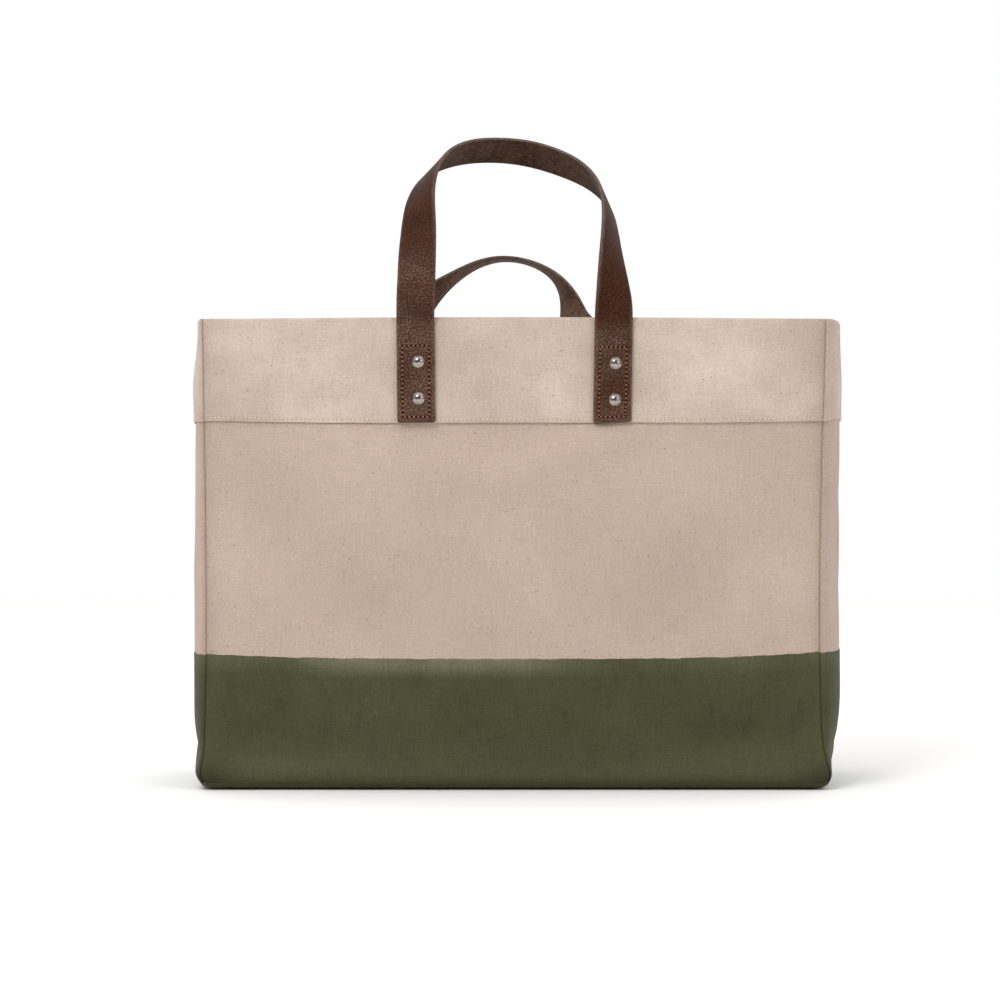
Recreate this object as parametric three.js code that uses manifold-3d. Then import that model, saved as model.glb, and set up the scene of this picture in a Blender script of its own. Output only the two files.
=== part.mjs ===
// Canvas tote with a coated base, doubled top bands and two riveted leather strap handles.
//
// Millimetres, +Z up. The front face looks along -Y, left and right are as seen from the front, and
// the origin is the centre of the flat underside. The bag stands open and upright.
//
// Every layer of the body (canvas, band, coating, strap end, patch) follows one shell surface, at its
// own distance out from it, so that layers which lie on each other keep the same gap everywhere.

import * as THREE from "three";
import { mergeVertices } from "three/addons/utils/BufferGeometryUtils.js";
import Module from "manifold-3d";

const wasm = await Module();
wasm.setup();

// --- driving dimensions ---------------------------------------------------------------------------

// Body: distances between the seams, and how far the stuffed cloth swells beyond them.
const SEAM_HALF_WIDTH = 208.5;
const SEAM_WAIST = 4;
const HALF_DEPTH = 75;
const RIM_HEIGHT = 314.8;
const RIM_CROWN = 2;
const BELLY = 12;
const BELLY_AT_RIM = 8.8;
const EDGE_RADIUS = 12;
const LEFT_BULGE = { foot: 8, rim: 7.5, swell: 6 };
const RIGHT_BULGE = { foot: 7, rim: 16, swell: 10 };

// Layers: thicknesses, and the clearance kept between two solids that touch.
const CANVAS = 1.2;
const COATING = 0.4;
const LEATHER = 2.6;
const PATCH = 1.5;
const GAP = 0.3;
const COATING_TOP = 89.3;
const BAND_FOOT = 246.3;

// Straps: where they are sewn on, and how wide they are.
const STRAP_X = 66.4;
const STRAP_WIDTH = 25;
const STRAP_TOP = 318.5;
const PATCH_SPAN = [251, 303];

// Handles: the straps flex about an axis at this height, and each loop starts this far beyond it. The
// first stretch of a loop, its root, squares up with the axis, so that it swings clear of its strap end.
const HINGE_HEIGHT = 325;
const LOOP_START = 2.5;
const LOOP_ROOT = 24;

// Rivets: heights up the strap end, sideways place, and sizes.
const RIVET_HEIGHTS = { upper: 287, lower: 261.8 };
const RIVET_SHIFT = 1.5;
const RIVET_CAP = { radius: 4.1, dome: 2.2, edge: 0.4 };
const RIVET_POST = 1.6;
const RIVET_HOLE = 1.95;
const BACK_CAP = { radius: 3.6, dome: 2.5, edge: 0.6 };
const ROUND_SIDES = 12;

// Seam binding: a tape folded over the seam's raw edges, inside the bag.
const BINDING = { width: 8, thickness: 2, inset: 4, foot: 7.5, corner: 10, top: 312 };

// --- grids --------------------------------------------------------------------------------------

const FRONT_COLUMNS = 12;
const GUSSET_COLUMNS = 10;
const WALL_HEIGHTS = [EDGE_RADIUS, 50, COATING_TOP, 140, 195, BAND_FOOT, 280, RIM_HEIGHT];
const SEAM_ANGLE = 42 * Math.PI / 180;
const SEAM_ANGLE_GAP = 1 * Math.PI / 180;
const GUSSET_SEAM_GAP = 0.45;
const LOOP_STEPS = 36;
const STRAP_ROWS = 4;

// The lowest skin is the coating, and its underside is the floor.
const SHELL_FOOT = GAP + COATING;

// --- materials ----------------------------------------------------------------------------------

function finish(color, roughness, metalness) {
  return new THREE.MeshStandardMaterial({ color, roughness, metalness });
}

const canvas = finish(0xc9b6a6, 0.95, 0);
const coating = finish(0x4b4c36, 0.6, 0);
const leather = finish(0x50392d, 0.5, 0);
const nickel = finish(0xb8b4ae, 0.25, 1);
const tape = finish(0xd2c3b2, 0.9, 0);

// --- solids -------------------------------------------------------------------------------------

// A sheet of one layer: columns x rows cells between an inner and an outer face. place(column, row,
// side) gives each corner, where side 0 is the inner face and side 1 the outer one. Both faces are
// split along the same diagonals, so that layers on the same grid stay parallel.
function bentSheet(columns, rows, place) {
  const corners = [];
  const faces = [];
  const corner = (column, row, side) => 2 * (row * (columns + 1) + column) + side;
  const quad = (a, b, c, d) => faces.push(a, b, c, a, c, d);
  for (let row = 0; row <= rows; row += 1) {
    for (let column = 0; column <= columns; column += 1) {
      corners.push(...place(column, row, 0).toArray(), ...place(column, row, 1).toArray());
    }
  }
  for (let row = 0; row < rows; row += 1) {
    for (let column = 0; column < columns; column += 1) {
      const ring = [[column, row], [column + 1, row], [column + 1, row + 1], [column, row + 1]];
      const [a, b, c, d] = ring.map(([i, j]) => corner(i, j, 1));
      quad(a, b, c, d);
      faces.push(a - 1, c - 1, b - 1, a - 1, d - 1, c - 1);
    }
    quad(corner(0, row, 0), corner(0, row, 1), corner(0, row + 1, 1), corner(0, row + 1, 0));
    const last = columns;
    quad(corner(last, row, 1), corner(last, row, 0), corner(last, row + 1, 0), corner(last, row + 1, 1));
  }
  for (let column = 0; column < columns; column += 1) {
    const next = column + 1;
    quad(corner(column, 0, 0), corner(next, 0, 0), corner(next, 0, 1), corner(column, 0, 1));
    quad(corner(column, rows, 1), corner(next, rows, 1), corner(next, rows, 0), corner(column, rows, 0));
  }
  const geometry = new THREE.BufferGeometry();
  geometry.setAttribute("position", new THREE.Float32BufferAttribute(corners, 3));
  geometry.setIndex(faces);
  geometry.computeVertexNormals();
  return geometry;
}

function welded(geometry) {
  geometry.deleteAttribute("normal");
  geometry.deleteAttribute("uv");
  const joined = mergeVertices(geometry);
  joined.computeVertexNormals();
  return joined;
}

function toManifold(geometry) {
  const mesh = new wasm.Mesh({
    numProp: 3,
    vertProperties: new Float32Array(geometry.attributes.position.array),
    triVerts: new Uint32Array(geometry.index.array),
  });
  return new wasm.Manifold(mesh);
}

function drilled(geometry, drills) {
  let solid = toManifold(geometry);
  for (const drill of drills) {
    solid = solid.subtract(toManifold(drill));
  }
  const mesh = solid.getMesh();
  const cut = new THREE.BufferGeometry();
  cut.setAttribute("position", new THREE.BufferAttribute(new Float32Array(mesh.vertProperties), 3));
  cut.setIndex(new THREE.BufferAttribute(new Uint32Array(mesh.triVerts), 1));
  cut.computeVertexNormals();
  return cut;
}

const bag = new THREE.Group();

function addPart(name, geometry, material) {
  const mesh = new THREE.Mesh(geometry, material);
  mesh.name = name;
  bag.add(mesh);
  return mesh;
}

// --- the shell surface --------------------------------------------------------------------------

// A level is a height on the wall, with the angle that the surface has turned towards the underside.
const wallLevels = [
  { height: 0, turn: SEAM_ANGLE - SEAM_ANGLE_GAP },
  { height: 0, turn: SEAM_ANGLE / 2 },
  ...WALL_HEIGHTS.map((height) => ({ height, turn: 0 })),
];

// How far the surface at this level stands inside the seam line, and how high it is.
function profile(level, lift) {
  if (level.turn === 0) {
    return { inset: -lift, height: level.height };
  }
  const radius = EDGE_RADIUS + lift;
  return {
    inset: EDGE_RADIUS - radius * Math.cos(level.turn),
    height: EDGE_RADIUS - radius * Math.sin(level.turn),
  };
}

const up = (height) => height / RIM_HEIGHT;
const seamX = (height) => SEAM_HALF_WIDTH - SEAM_WAIST * Math.sin(Math.PI * up(height));
const belly = (height) => BELLY * Math.sin(Math.PI * up(height)) + BELLY_AT_RIM * up(height) ** 2;
const crown = (height) => RIM_CROWN * up(height) ** 4;

function bulge(side, height) {
  const { foot, rim, swell } = side;
  return foot + (rim - foot) * up(height) + swell * Math.sin(Math.PI * up(height));
}

// A point of the front face, across from -1 at the left seam to 1 at the right seam.
function facePoint(across, level, lift) {
  const { inset, height } = profile(level, lift);
  const fullness = 1 - across ** 2;
  return new THREE.Vector3(
    across * (seamX(height) - inset),
    -(HALF_DEPTH - inset + belly(height) * fullness),
    SHELL_FOOT + height + crown(height) * fullness,
  );
}

// The same surface at a given x, for what is sewn on it.
function faceAt(x, height, lift) {
  const level = { height, turn: 0 };
  return facePoint(x / (seamX(height) + lift), level, lift);
}

// A point of the right-hand gusset of this bulge, from the front seam to the back seam.
function gussetPoint(along, level, lift, side) {
  const { inset, height } = profile(level, lift);
  const reach = bulge(side, height);
  const first = Math.asin(GUSSET_SEAM_GAP / reach);
  const angle = first + (Math.PI - 2 * first) * along;
  return new THREE.Vector3(
    seamX(height) - inset + reach * Math.sin(angle),
    -(HALF_DEPTH - inset) * Math.cos(angle),
    SHELL_FOOT + height,
  );
}

// --- walls: each is one layer between two lifts and two levels -------------------------------------

function faceLayer(levels, inner, outer) {
  return bentSheet(FRONT_COLUMNS, levels.length - 1, (column, row, side) => {
    const across = 2 * column / FRONT_COLUMNS - 1;
    return facePoint(across, levels[row], side === 1 ? outer : inner);
  });
}

function gussetLayer(levels, inner, outer, bulgeSide) {
  return bentSheet(GUSSET_COLUMNS, levels.length - 1, (column, row, side) => {
    return gussetPoint(column / GUSSET_COLUMNS, levels[row], side === 1 ? outer : inner, bulgeSide);
  });
}

function addWalls(suffix, levels, inner, outer, material, drills) {
  const face = faceLayer(levels, inner, outer);
  const names = ["front", "back"];
  for (const name of names) {
    const geometry = drills ? drilled(face, drills) : face;
    const mesh = addPart(`${name}_${suffix}`, geometry, material);
    mesh.rotation.z = name === "back" ? Math.PI : 0;
  }
  addPart(`right_${suffix}`, gussetLayer(levels, inner, outer, RIGHT_BULGE), material);
  const left = addPart(`left_${suffix}`, gussetLayer(levels, inner, outer, LEFT_BULGE), material);
  left.rotation.z = Math.PI;
}

// --- underside: flat, with its edges turned up to the bottom seam -----------------------------------

const EDGE_TURNS = [SEAM_ANGLE + SEAM_ANGLE_GAP, 1.15, Math.PI / 2];
const FLAT_CELLS = 4;

// Stops across the underside from -1 to 1: the turned edge, then the flat.
function undersideStops() {
  const stops = EDGE_TURNS.map((turn) => ({ sign: -1, turn, share: 1 }));
  for (let i = 1; i < FLAT_CELLS; i += 1) {
    const share = 2 * i / FLAT_CELLS - 1;
    stops.push({ sign: 1, turn: Math.PI / 2, share });
  }
  for (const turn of [...EDGE_TURNS].reverse()) {
    stops.push({ sign: 1, turn, share: 1 });
  }
  return stops;
}

function undersidePoint(alongStop, acrossStop, lift) {
  const radius = EDGE_RADIUS + lift;
  const insetOf = (stop) => EDGE_RADIUS - radius * Math.cos(stop.turn);
  const y = alongStop.sign * alongStop.share * (HALF_DEPTH - insetOf(alongStop));
  const height = EDGE_RADIUS - radius * Math.min(Math.sin(alongStop.turn), Math.sin(acrossStop.turn));
  const onRight = acrossStop.sign * acrossStop.share > 0;
  const reach = bulge(onRight ? RIGHT_BULGE : LEFT_BULGE, height);
  const round = Math.sqrt(Math.max(0, 1 - (y / (HALF_DEPTH - insetOf(alongStop))) ** 2));
  const x = acrossStop.sign * acrossStop.share * (seamX(height) - insetOf(acrossStop) + reach * round);
  return new THREE.Vector3(x, y, SHELL_FOOT + height);
}

function undersideLayer(inner, outer) {
  const stops = undersideStops();
  const cells = stops.length - 1;
  return bentSheet(cells, cells, (column, row, side) => {
    return undersidePoint(stops[column], stops[row], side === 1 ? outer : inner);
  });
}

// --- rivets -------------------------------------------------------------------------------------

// Heights along a rivet's axis, out from the strap's outer face.
const STRAP_FACE = GAP + CANVAS + GAP + LEATHER;
const PATCH_FACE = -(CANVAS + GAP + PATCH);
const CAP_SEAT = GAP;
const BACK_SEAT = PATCH_FACE - STRAP_FACE - GAP;
const POST_END = BACK_SEAT - 1;
const SOCKET_END = POST_END - GAP;

function domeProfile(radius, seat, edge, dome, sense) {
  const steps = 4;
  const points = [];
  for (let i = 0; i <= steps; i += 1) {
    const angle = Math.PI / 2 * i / steps;
    const rise = edge + (dome - edge) * Math.cos(angle);
    points.push(new THREE.Vector2(radius * Math.sin(angle), seat + sense * rise));
  }
  points[0].x = 0;
  return points;
}

function rivetGeometry() {
  const outline = domeProfile(RIVET_CAP.radius, CAP_SEAT, RIVET_CAP.edge, RIVET_CAP.dome, 1);
  outline.push(new THREE.Vector2(RIVET_CAP.radius, CAP_SEAT));
  outline.push(new THREE.Vector2(RIVET_POST, CAP_SEAT));
  outline.push(new THREE.Vector2(RIVET_POST, POST_END));
  outline.push(new THREE.Vector2(0, POST_END));
  return welded(new THREE.LatheGeometry(outline.reverse(), ROUND_SIDES));
}

function backCapGeometry() {
  const dome = domeProfile(BACK_CAP.radius, BACK_SEAT, BACK_CAP.edge, BACK_CAP.dome, -1);
  const outline = [
    ...dome,
    new THREE.Vector2(BACK_CAP.radius, BACK_SEAT),
    new THREE.Vector2(RIVET_HOLE, BACK_SEAT),
    new THREE.Vector2(RIVET_HOLE, SOCKET_END),
    new THREE.Vector2(0, SOCKET_END),
  ];
  return welded(new THREE.LatheGeometry(outline, ROUND_SIDES));
}

// Where a rivet stands on the front face, and the way it points.
function rivetPlace(x, height) {
  const step = 2;
  const seat = faceAt(x, height, STRAP_FACE);
  const sideways = faceAt(x + step, height, STRAP_FACE).sub(seat);
  const upward = faceAt(x, height + step, STRAP_FACE).sub(seat);
  const outward = sideways.cross(upward).normalize();
  const turn = new THREE.Quaternion().setFromUnitVectors(new THREE.Vector3(0, 1, 0), outward);
  return new THREE.Matrix4().compose(seat, turn, new THREE.Vector3(1, 1, 1));
}

function rivetStations() {
  const stations = [];
  for (const [side, sign] of [["left", -1], ["right", 1]]) {
    for (const [row, height] of Object.entries(RIVET_HEIGHTS)) {
      stations.push({ side, row, place: rivetPlace(sign * STRAP_X + RIVET_SHIFT, height) });
    }
  }
  return stations;
}

const stations = rivetStations();
const drills = stations.map(({ place }) => {
  const length = 40;
  const drill = welded(new THREE.CylinderGeometry(RIVET_HOLE, RIVET_HOLE, length, ROUND_SIDES));
  return drill.applyMatrix4(place);
});

function addRivets(face) {
  for (const { side, row, place } of stations) {
    const rivet = rivetGeometry().applyMatrix4(place);
    const cap = backCapGeometry().applyMatrix4(place);
    for (const [suffix, geometry] of [["rivet", rivet], ["rivet_back_cap", cap]]) {
      const mesh = addPart(`${face}_${side}_${row}_${suffix}`, geometry, nickel);
      mesh.rotation.z = face === "back" ? Math.PI : 0;
    }
  }
}

// --- strap ends and the patches behind them ---------------------------------------------------------

// A strip on the front face, of the strap's width, between two heights and two lifts.
function faceStrip(centreX, low, high, inner, outer) {
  return bentSheet(2, STRAP_ROWS, (column, row, side) => {
    const x = centreX + STRAP_WIDTH * (column / 2 - 0.5);
    const height = low + (high - low) * row / STRAP_ROWS;
    return faceAt(x, height, side === 1 ? outer : inner);
  });
}

function addStrapEnds(face) {
  for (const [side, sign] of [["left", -1], ["right", 1]]) {
    const centreX = sign * STRAP_X;
    const strap = faceStrip(centreX, BAND_FOOT, STRAP_TOP, STRAP_FACE - LEATHER, STRAP_FACE);
    const patch = faceStrip(centreX, PATCH_SPAN[0], PATCH_SPAN[1], PATCH_FACE, PATCH_FACE + PATCH);
    const strapEnd = addPart(`${face}_${side}_strap_end`, drilled(strap, drills), leather);
    const backing = addPart(`${face}_${side}_inner_patch`, drilled(patch, drills), leather);
    strapEnd.rotation.z = face === "back" ? Math.PI : 0;
    backing.rotation.z = face === "back" ? Math.PI : 0;
  }
}

// --- handle loops -------------------------------------------------------------------------------

// Each loop is one flat strap on a curve: places on its centre line, and the way its width points
// there, towards the edge that faces the other leg.
const FRONT_LOOP = [
  { at: [-STRAP_X, -86, HINGE_HEIGHT], across: [1, 0, 0] },
  { at: [-64, -79, 371], across: [0.9, -0.3, 0.1] },
  { at: [-62, -55, 410], across: [0.7, -0.6, 0.4] },
  { at: [-42, -21, 434], across: [0.4, -0.7, 0.6] },
  { at: [-2, 0, 440], across: [0.2, -0.8, 0.6] },
  { at: [41, -8, 427], across: [-0.1, -0.7, 0.7] },
  { at: [64, -40, 402], across: [-0.4, -0.6, 0.7] },
  { at: [67, -72, 368], across: [-0.6, -0.7, 0.4] },
  { at: [STRAP_X, -86, HINGE_HEIGHT], across: [-1, 0, 0] },
];

const BACK_LOOP = [
  { at: [-STRAP_X, 87.6, HINGE_HEIGHT + 2], across: [1, 0, 0] },
  { at: [-73, 130, 335], across: [0.9, 0.1, -0.3] },
  { at: [-74, 176, 338], across: [0.5, 0.2, -0.8] },
  { at: [-51, 207, 363], across: [0, 0.8, -0.6] },
  { at: [-11, 216, 383], across: [0.1, 1, -0.1] },
  { at: [30, 205, 370], across: [0.2, 0.9, -0.4] },
  { at: [45, 175, 338], across: [-0.6, 0.3, -0.7] },
  { at: [49, 129, 331], across: [-1, -0.2, 0] },
  { at: [STRAP_X, 87.6, HINGE_HEIGHT + 2], across: [-1, -0.2, 0] },
];

function loopGeometry(route) {
  const centre = new THREE.CatmullRomCurve3(
    route.map(({ at }) => new THREE.Vector3(...at)), false, "catmullrom", 0.5);
  const across = new THREE.CatmullRomCurve3(
    route.map((stop) => new THREE.Vector3(...stop.across)), false, "catmullrom", 0.5);
  const length = centre.getLength();
  const start = LOOP_START / length;
  return bentSheet(1, LOOP_STEPS, (column, row, side) => {
    const travel = start + (1 - 2 * start) * row / LOOP_STEPS;
    const t = centre.getUtoTmapping(travel);
    const point = centre.getPoint(t);
    const tangent = centre.getTangent(t);
    const width = across.getPoint(t);
    width.addScaledVector(tangent, -width.dot(tangent)).normalize();
    const fromEnd = (Math.min(travel, 1 - travel) - start) * length;
    const squareness = 1 - THREE.MathUtils.smoothstep(fromEnd, 0, LOOP_ROOT);
    width.lerp(new THREE.Vector3(travel < 0.5 ? 1 : -1, 0, 0), squareness).normalize();
    const grain = new THREE.Vector3().crossVectors(width, tangent).normalize();
    point.addScaledVector(width, STRAP_WIDTH * (column - 0.5));
    return point.addScaledVector(grain, LEATHER * (side - 0.5));
  });
}

// --- seam binding -------------------------------------------------------------------------------

// One U-shaped tape down a side seam, along the bottom seam and up the other side.
function bindingGeometry() {
  const { width, thickness, inset, foot, corner, top } = BINDING;
  const stops = 6;
  const low = foot + corner;
  const wallX = (height) => seamX(height) - inset;
  const outline = new THREE.Shape();
  const addWall = (sign, offset, upward) => {
    for (let i = 0; i <= stops; i += 1) {
      const share = upward ? i / stops : 1 - i / stops;
      const height = low + (top - low) * share;
      outline.lineTo(sign * (wallX(height) - offset), height);
    }
  };
  outline.moveTo(-wallX(top), top);
  addWall(-1, 0, false);
  outline.quadraticCurveTo(-wallX(low), foot, corner - wallX(low), foot);
  outline.lineTo(wallX(low) - corner, foot);
  outline.quadraticCurveTo(wallX(low), foot, wallX(low), low);
  addWall(1, 0, true);
  addWall(1, thickness, false);
  const innerFoot = foot + thickness;
  outline.quadraticCurveTo(wallX(low) - thickness, innerFoot, wallX(low) - corner, innerFoot);
  outline.lineTo(corner - wallX(low), innerFoot);
  outline.quadraticCurveTo(thickness - wallX(low), innerFoot, thickness - wallX(low), low);
  addWall(-1, thickness, true);
  const tapeSolid = new THREE.ExtrudeGeometry(outline, {
    depth: width,
    bevelEnabled: false,
    curveSegments: 4,
  });
  tapeSolid.rotateX(Math.PI / 2);
  return welded(tapeSolid.translate(0, width + inset - 1 - HALF_DEPTH, 0));
}

// --- the assembly -------------------------------------------------------------------------------

const coatingLevels = wallLevels.filter(({ height }) => height <= COATING_TOP);
const bandLevels = wallLevels.filter(({ height }) => height >= BAND_FOOT);
addWalls("panel", wallLevels, -CANVAS, 0, canvas, drills);
addPart("bottom_panel", undersideLayer(-CANVAS, 0), canvas);
addWalls("top_band", bandLevels, GAP, GAP + CANVAS, canvas, drills);
addWalls("coating", coatingLevels, GAP, GAP + COATING, coating, null);
addPart("bottom_coating", undersideLayer(GAP, GAP + COATING), coating);

for (const face of ["front", "back"]) {
  addStrapEnds(face);
  addRivets(face);
  const binding = addPart(`${face}_seam_binding`, bindingGeometry(), tape);
  binding.rotation.z = face === "back" ? Math.PI : 0;
}

addPart("front_handle_loop", loopGeometry(FRONT_LOOP), leather);
addPart("back_handle_loop", loopGeometry(BACK_LOOP), leather);

export default bag;
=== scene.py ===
"""Looks of the canvas tote: cloth, coat, leather straps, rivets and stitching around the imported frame.

Metres, +Z up, the front face looks along -Y. Every layer of the body follows one shell surface, which
is first settled as cloth, at its own distance out from it, so that layers on each other never cross.
"""
import math

import bpy
import numpy as np
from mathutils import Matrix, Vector


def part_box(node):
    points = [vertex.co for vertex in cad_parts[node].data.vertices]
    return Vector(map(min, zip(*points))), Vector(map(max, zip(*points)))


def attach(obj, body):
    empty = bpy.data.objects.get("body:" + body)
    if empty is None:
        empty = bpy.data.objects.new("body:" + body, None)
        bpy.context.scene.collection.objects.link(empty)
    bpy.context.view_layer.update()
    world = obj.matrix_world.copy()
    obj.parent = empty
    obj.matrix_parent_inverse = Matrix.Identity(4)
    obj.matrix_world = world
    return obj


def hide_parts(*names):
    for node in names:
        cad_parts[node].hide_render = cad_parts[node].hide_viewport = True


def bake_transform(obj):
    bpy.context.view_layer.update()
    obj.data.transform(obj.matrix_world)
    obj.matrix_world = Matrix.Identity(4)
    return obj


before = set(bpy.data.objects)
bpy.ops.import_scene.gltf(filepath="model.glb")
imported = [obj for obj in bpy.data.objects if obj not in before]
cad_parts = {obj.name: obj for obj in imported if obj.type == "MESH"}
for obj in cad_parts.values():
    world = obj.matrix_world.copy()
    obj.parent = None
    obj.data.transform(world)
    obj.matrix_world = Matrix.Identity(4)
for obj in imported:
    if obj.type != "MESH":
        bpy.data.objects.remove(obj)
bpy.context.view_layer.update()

MM = 0.001

# --- driving dimensions, from the frame where it holds them ---

PANEL_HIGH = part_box("front_panel")[1]
GUSSET_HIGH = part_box("right_panel")[1]
FLOOR_SKIN = 0.7 * MM
SEAM_HALF_WIDTH = PANEL_HIGH.x
HALF_DEPTH = 75 * MM
RIM_HEIGHT = GUSSET_HIGH.z - FLOOR_SKIN
# The rim's rise over the gussets' CAD height: in the middle of a face, and at the seams.
RIM_CROWN = PANEL_HIGH.z - GUSSET_HIGH.z
RIM_RAISE = 1.2 * MM
BELLY = 12 * MM
BELLY_AT_RIM = 8.8 * MM
EDGE_RADIUS = 12 * MM
SEAM_FLARE_HEIGHT = 20 * MM
RIM_PULL_HEIGHT = 46 * MM
# Each side of the bag, left and right: how far its seams stand from the middle at the rim, how far they
# draw in below that, and how far they flare at the foot.
SEAM_AT_RIM = {-1: SEAM_HALF_WIDTH + 0.5 * MM, 1: SEAM_HALF_WIDTH + 1.0 * MM}
SEAM_WAIST = {-1: 2.4 * MM, 1: 4.2 * MM}
SEAM_FLARE = {-1: 3.1 * MM, 1: 5.4 * MM}
# How far each gusset swells beyond its seams: at the foot, at most, at the rim, and the height over which
# it fills out.
BULGE_FOOT = {-1: 6.5 * MM, 1: 2.4 * MM}
BULGE_FULL = {-1: 12.7 * MM, 1: 19.6 * MM}
BULGE_RIM = {-1: 8.0 * MM, 1: 17.0 * MM}
BULGE_RISE = {-1: 30 * MM, 1: 32 * MM}

CANVAS = 1.2 * MM
GAP = 0.3 * MM
LEATHER = 2.6 * MM
STRAP_WIDTH = 25.4 * MM
BAND_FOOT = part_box("left_top_band")[0].z - FLOOR_SKIN
COAT_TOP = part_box("left_coating")[1].z - FLOOR_SKIN

# The bottom seam lies where the cloth's lower edge has turned under by SEAM_TURN.
SEAM_TURN = math.radians(42)
UP_TO_V = EDGE_RADIUS * SEAM_TURN - EDGE_RADIUS
RIM_V = RIM_HEIGHT + UP_TO_V


def smooth(t):
    t = np.clip(t, 0.0, 1.0)
    return t * t * (3 - 2 * t)


def waves(t, lengths, seed):
    """A smooth wavy function of t, between about -1 and 1, made of a few wavelengths."""
    total = np.zeros_like(np.asarray(t, float))
    for i, length in enumerate(lengths):
        total += np.sin(2 * np.pi * np.asarray(t) / length + seed * (1.7 + i) + 2.4 * i)
    return total / len(lengths)


def bell(x, width):
    """1 at x = 0, falling to about a third width away."""
    return np.exp(-(x / width) ** 2)


def unit(vectors):
    return vectors / np.linalg.norm(vectors, axis=-1, keepdims=True)


def distance_along(points):
    """How far along its line each point lies, down the rows of one or several lines."""
    steps = np.linalg.norm(np.diff(points, axis=0), axis=-1)
    return np.concatenate([0 * steps[:1], np.cumsum(steps, 0)])


def circle(sides):
    return 2 * np.pi * np.arange(sides) / sides


# --- the shell surface ---
# A wall is read by p, the distance across it, and v, the distance up it from the bottom seam. On the
# front and back p runs from seam to seam through 0, and on a gusset from its first seam to its second.

WALLS = ("front", "right", "back", "left")
MEAN_REACH = 15 * MM
ARC_ANGLES = np.linspace(0, math.pi, 721)
ARC_LENGTHS = distance_along(
    np.stack([MEAN_REACH * np.sin(ARC_ANGLES), HALF_DEPTH * np.cos(ARC_ANGLES)], -1))
GUSSET_SPAN = ARC_LENGTHS[-1]
FACE_SPAN = 2 * SEAM_HALF_WIDTH


def wall_profile(v):
    """The height, how far in from the wall, and how far turned under the cloth is at v."""
    turn = np.clip(SEAM_TURN - v / EDGE_RADIUS, 0, None)
    height = np.where(turn > 0, EDGE_RADIUS * (1 - np.sin(turn)), v - UP_TO_V)
    return height, EDGE_RADIUS * (1 - np.cos(turn)), turn


def share_up(height):
    return np.clip(height, 0, None) / RIM_HEIGHT


def seam_x(height, side=0):
    """How far the seams stand from the middle on a side, -1 left to 1 right, or on average at 0."""
    up = np.sin(np.pi * share_up(height) ** 0.7)
    flare = bell(np.clip(height, 0, None), SEAM_FLARE_HEIGHT)
    left, right = (SEAM_AT_RIM[i] - SEAM_WAIST[i] * up + SEAM_FLARE[i] * flare for i in (-1, 1))
    return (left + right + side * (right - left)) / 2


def belly(height):
    return BELLY * np.sin(np.pi * share_up(height)) + BELLY_AT_RIM * share_up(height) ** 2


def bulge(side, height):
    full = BULGE_FULL[side]
    low = (full - BULGE_FOOT[side]) * bell(np.clip(height, 0, None), BULGE_RISE[side])
    high = smooth((height - RIM_HEIGHT + RIM_PULL_HEIGHT) / RIM_PULL_HEIGHT)
    return full - low - (full - BULGE_RIM[side]) * high


def is_face(wall):
    return wall in ("front", "back")


def span(wall):
    return FACE_SPAN if is_face(wall) else GUSSET_SPAN


def first_p(wall):
    return -SEAM_HALF_WIDTH if is_face(wall) else 0


def seam_distance(wall, p):
    return SEAM_HALF_WIDTH - np.abs(p) if is_face(wall) else np.minimum(p, GUSSET_SPAN - p)


def plain_wall(wall, p, v):
    """The unsettled surface, and the direction in which its layers are stacked."""
    height, inset, turn = wall_profile(v)
    out, down = np.cos(turn), -np.sin(turn)
    side = -1 if wall == "left" else 1
    if is_face(wall):
        s = p / SEAM_HALF_WIDTH
        full = 1 - s ** 2
        x = s * (seam_x(height, s if wall == "front" else -s) - inset)
        y = -(HALF_DEPTH - inset + belly(height) * full)
        lift = RIM_RAISE + (RIM_CROWN - RIM_RAISE) * full
        way = np.stack([0 * s, -out + 0 * s, down + 0 * s], -1)
    else:
        angle = np.interp(p, ARC_LENGTHS, ARC_ANGLES)
        x = seam_x(height, side) - inset + bulge(side, height) * np.sin(angle)
        y = -(HALF_DEPTH - inset) * np.cos(angle)
        lift = RIM_RAISE + 0 * angle
        way = np.stack([out * np.sin(angle), -out * np.cos(angle), down + 0 * angle], -1)
    place = np.stack([x, y, FLOOR_SKIN + height + lift * share_up(height) ** 4], -1)
    if wall in ("back", "left"):
        place, way = place * [-1, -1, 1], way * [-1, -1, 1]
    return place, way


# --- settling the cloth ---

SIM_ROWS = 33
SIM_COLUMNS = {True: 42, False: 14}
SIM_FRAMES = 28
SIM_CAP = 4.5 * MM
GRAVITY_SHARE = 0.25
RIPPLE = 0.9 * MM
# How firmly the cloth is held at its seams, at its rim and in the open.
SEAM_HOLD = 0.5
RIM_HOLD = 0.12
LEAST_HOLD = 0.015
CLOTH_RULES = {
    "quality": 7, "mass": 0.25, "air_damping": 4, "shrink_min": -0.004, "tension_stiffness": 60,
    "compression_stiffness": 60, "shear_stiffness": 30, "bending_stiffness": 6, "tension_damping": 12,
    "compression_damping": 12, "shear_damping": 12, "bending_damping": 1, "use_pressure": True,
    "uniform_pressure_force": 0.35, "vertex_group_mass": "pins", "pin_stiffness": 1.0,
}


def ring_faces(rings, sides):
    """The faces between closed rings of points, and the number of each point in each ring."""
    index = np.arange(rings * sides).reshape(rings, sides)
    after = np.roll(index, -1, axis=1)
    return index, np.stack([index[:-1], after[:-1], after[1:], index[1:]], -1).reshape(-1, 4)


def sim_grid(wall, last):
    """The cloth's points across and up a wall, with its last column where last is 1."""
    cells = SIM_COLUMNS[is_face(wall)]
    p = first_p(wall) + span(wall) * np.arange(cells + last) / cells
    return np.meshgrid(p, np.linspace(0, RIM_V, SIM_ROWS))


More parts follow.
